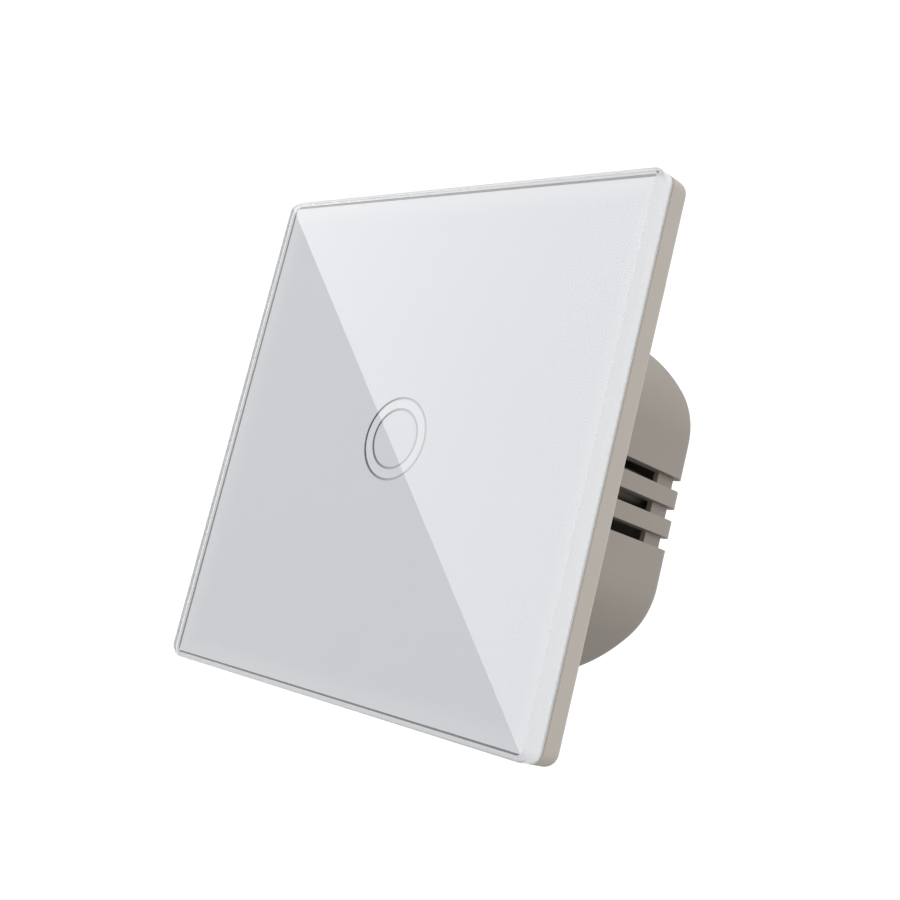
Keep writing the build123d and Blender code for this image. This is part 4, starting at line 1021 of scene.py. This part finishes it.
@dataclass
class Terminals(Part):
    """The rising-clamp terminals at the housing's rear."""

    floor_mm: float = 1.0
    rib_size_mm: tuple[float, float, float] = (3.2, 0.2, 0.35)
    rib_pitch_mm: float = 1.1
    rib_count: int = 3
    rib_edge_mm: float = 0.04
    bite_mm: float = 0.02

    def build(self) -> list[bpy.types.Object]:
        """Model the ribs on each cage's floor that grip the wire."""
        pieces = []
        for number in (1, 2, 3):
            name = f"terminal_cage_{number}"
            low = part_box(name)[0].y / MM
            middle = middle_mm(name)
            shape = bmesh.new()
            for step in range(self.rib_count):
                z = middle.z + (step - (self.rib_count - 1) / 2) * self.rib_pitch_mm
                y = low + self.floor_mm + self.rib_size_mm[1] / 2 - self.bite_mm
                add_block(shape, (middle.x, y, z), self.rib_size_mm, self.rib_edge_mm)
            piece = mesh_piece(f"cage_ribs_{number}", shape)
            pieces.append(self.claim(piece, CLAMP_STEEL, "clamp_steel", f"clamp_cage_{number}"))
        return pieces


@dataclass
class Studio:
    """White room: a pale floor, soft light, one card for the reflection, and the camera."""

    camera_mm: tuple[float, float, float] = (149.5, -139.3, -28.6)
    view_rotation: tuple[float, float, float] = (1.2514, 0.719, -0.4598)
    focal_px: float = 1350.0
    floor_drop_mm: float = 300.0
    floor_size_mm: float = 6000.0
    sky_strength: float = 1.07
    white_strength: float = 1.15
    ground_strength: float = 0.34
    card_strength: float = 4.1
    card_reach: float = 4.0
    ground_below: float = -0.7
    sky_above: float = 0.15
    clip_start_mm: float = 10.0
    lamp_watts: float = 1.8
    lamp_size_mm: float = 900.0
    lamp_place_mm: tuple[float, float, float] = (900.0, -150.0, 100.0)

    def camera(self) -> None:
        """Set the camera at the photograph's angle."""
        data = bpy.data.cameras.new("studio_camera")
        data.sensor_width = SENSOR_WIDTH_MM
        data.lens = self.focal_px * SENSOR_WIDTH_MM / RENDER_WIDTH_PX
        data.clip_start = self.clip_start_mm * MM
        camera = bpy.data.objects.new("studio_camera", data)
        turn = Vector(self.view_rotation)
        to_view = Matrix.Rotation(turn.length, 3, turn.normalized())
        flip = Matrix(((1, 0, 0), (0, -1, 0), (0, 0, -1)))
        camera.matrix_world = (flip @ to_view).transposed().to_4x4()
        camera.location = Vector(self.camera_mm) * MM
        bpy.context.scene.collection.objects.link(camera)
        bpy.context.scene.camera = camera

    def world(self) -> None:
        """Light the room softly, more from above than from below, on pure white."""
        world = bpy.data.worlds.new("studio_world")
        world.use_nodes = True
        tree = world.node_tree
        tree.nodes.clear()
        place = add_node(tree, "ShaderNodeTexCoord").outputs["Generated"]
        apart = add_node(tree, "ShaderNodeSeparateXYZ", links={"Vector": place})
        height = add_node(
            tree, "ShaderNodeMapRange", {"interpolation_type": "SMOOTHSTEP"},
            {
                "From Min": self.ground_below, "From Max": self.sky_above,
                "To Min": self.ground_strength, "To Max": self.sky_strength,
            },
            {"Value": apart.outputs[2]},
        )
        seen = add_node(tree, "ShaderNodeLightPath").outputs["Is Camera Ray"]
        strength = add_node(
            tree, "ShaderNodeMix", {"data_type": "FLOAT"}, {MIX_FLOAT_B: self.white_strength},
            {0: seen, MIX_FLOAT_A: height.outputs[0]},
        )
        sky = add_node(tree, "ShaderNodeBackground", links={"Strength": strength.outputs[0]})
        sky.inputs["Color"].default_value = linear("#FFFFFF")
        add_node(tree, "ShaderNodeOutputWorld", links={"Surface": sky.outputs[0]})
        bpy.context.scene.world = world
        bpy.context.scene.view_settings.view_transform = "Standard"

    def floor(self, made: dict[str, bpy.types.Material]) -> None:
        """Lay the pale floor below the part.

        Args:
            made: materials already built, by finish name.
        """
        shape = bmesh.new()
        bmesh.ops.create_grid(shape, x_segments=1, y_segments=1, size=self.floor_size_mm * MM / 2)
        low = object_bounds()[0][2] - self.floor_drop_mm * MM
        bmesh.ops.translate(shape, verts=shape.verts, vec=Vector((0.0, 0.0, low)))
        piece = mesh_piece("studio_floor", shape)
        wear(piece, BACKDROP, made)
        # It is seen and mirrored, but throws no light up at the part
        piece.visible_diffuse = False
        piece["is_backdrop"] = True

    def card(self, glass_front: float, half: float) -> None:
        """Hang the card whose edge the glass shows as a line from corner to corner.

        Args:
            glass_front: the glass's front face along Y, in metres.
            half: half the panel's size, in metres.
        """
        eye = Vector(self.camera_mm) * MM
        mirrored = Vector((eye.x, 2 * glass_front - eye.y, eye.z))
        shape = bmesh.new()
        corners = ((-half, half), (half, -half), (half, half))
        for x, z in corners:
            corner = Vector((x, glass_front, z))
            shape.verts.new(corner + (corner - mirrored) * self.card_reach)
        shape.faces.new(shape.verts)
        piece = mesh_piece("studio_card", shape)
        material = bpy.data.materials.new("card_glow")
        material.use_nodes = True
        tree = material.node_tree
        tree.nodes.clear()
        glow = add_node(tree, "ShaderNodeEmission", values={"Strength": self.card_strength})
        add_node(tree, "ShaderNodeOutputMaterial", links={"Surface": glow.outputs[0]})
        piece.data.materials.append(material)
        # Only mirrored and refracted rays meet the card
        piece.visible_camera = False
        piece.visible_diffuse = False
        piece.visible_shadow = False
        piece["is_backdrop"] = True

    def lamp(self) -> None:
        """Stand the soft lamp at the right of the part, turned to face it."""
        data = bpy.data.lights.new("side_soft", "AREA")
        data.energy = self.lamp_watts
        data.size = self.lamp_size_mm * MM
        light = bpy.data.objects.new("side_soft", data)
        light.location = Vector(self.lamp_place_mm) * MM
        light.rotation_euler = light.location.to_track_quat("Z", "Y").to_euler()
        bpy.context.scene.collection.objects.link(light)


SUB_ASSEMBLIES: tuple[Part, ...] = (
    Panel("panel", {
        "glass_panel": FLOAT_GLASS, "adhesive_frame": FOAM, "panel_frame": FRAME_ABS,
        "glass_print": WHITE_ENAMEL_PAINTED_EDGE, "ring_mark": RING_INK_AND_SHADE,
    }),
    TouchModule("chassis", {
        "front_cover": COVER_ABS, "light_guide": GUIDE_ACRYLIC, "indicator_leds": LAMP_RESIN,
        "touch_electrode": COPPER_FOIL, "sensor_board": BOARD, "touch_chip": EPOXY_CHIP,
        "header_base": BLACK_NYLON, "header_pins": TINNED, "housing_screws": ZINC_SCREW,
    }),
    WallFixing("chassis", {"mounting_plate": GALVANISED}),
    Housing("chassis", {"rear_housing": HOUSING_NYLON}),
    PowerUnit("chassis", {
        "power_board": BOARD, "board_screws": ZINC_SCREW, "socket_header": BLACK_NYLON,
        "film_capacitor": FILM_BOX, "electrolytic_can": CAN_SLEEVE, "electrolytic_seal": RUBBER_SEAL,
        "transformer_core": FERRITE, "transformer_bobbin": BOBBIN_NYLON,
        "transformer_winding": WINDING_TAPE, "line_fuse": FUSE_BODY, "varistor": VARISTOR_EPOXY,
        "bridge_rectifier": EPOXY_CHIP, "resistors": RESISTOR_BODY, "filter_inductor": FERRITE,
    }),
    Relay("chassis", {
        "relay_base": RELAY_PBT, "relay_cover": RELAY_PBT, "relay_bobbin": BOBBIN_NYLON,
        "relay_winding": WOUND_COPPER, "relay_core": RELAY_IRON, "relay_yoke": RELAY_IRON,
        "relay_coil_pins": TINNED, "relay_fixed_contact": SPRING_BRONZE,
        "relay_armature": RELAY_IRON, "relay_contact_leaf": SPRING_BRONZE,
    }),
    Terminals("chassis", {
        "terminal_block": TERMINAL_PA, "terminal_tongues": TONGUE_COPPER,
        **{f"terminal_cage_{n}": CLAMP_STEEL for n in (1, 2, 3)},
        **{f"terminal_screw_{n}": CLAMP_STEEL for n in (1, 2, 3)},
    }),
)


def main() -> None:
    """Build the switch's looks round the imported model, then the studio."""
    logging.basicConfig(level=logging.INFO, format="%(name)s %(message)s")
    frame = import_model()
    made: dict[str, bpy.types.Material] = {}
    for part in SUB_ASSEMBLIES:
        part.dress(frame["nodes"], made)
    studio = Studio()
    studio.world()
    studio.floor(made)
    low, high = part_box("glass_panel")
    studio.card(low.y, high.x)
    studio.lamp()
    studio.camera()


if __name__ == "__main__":
    main()
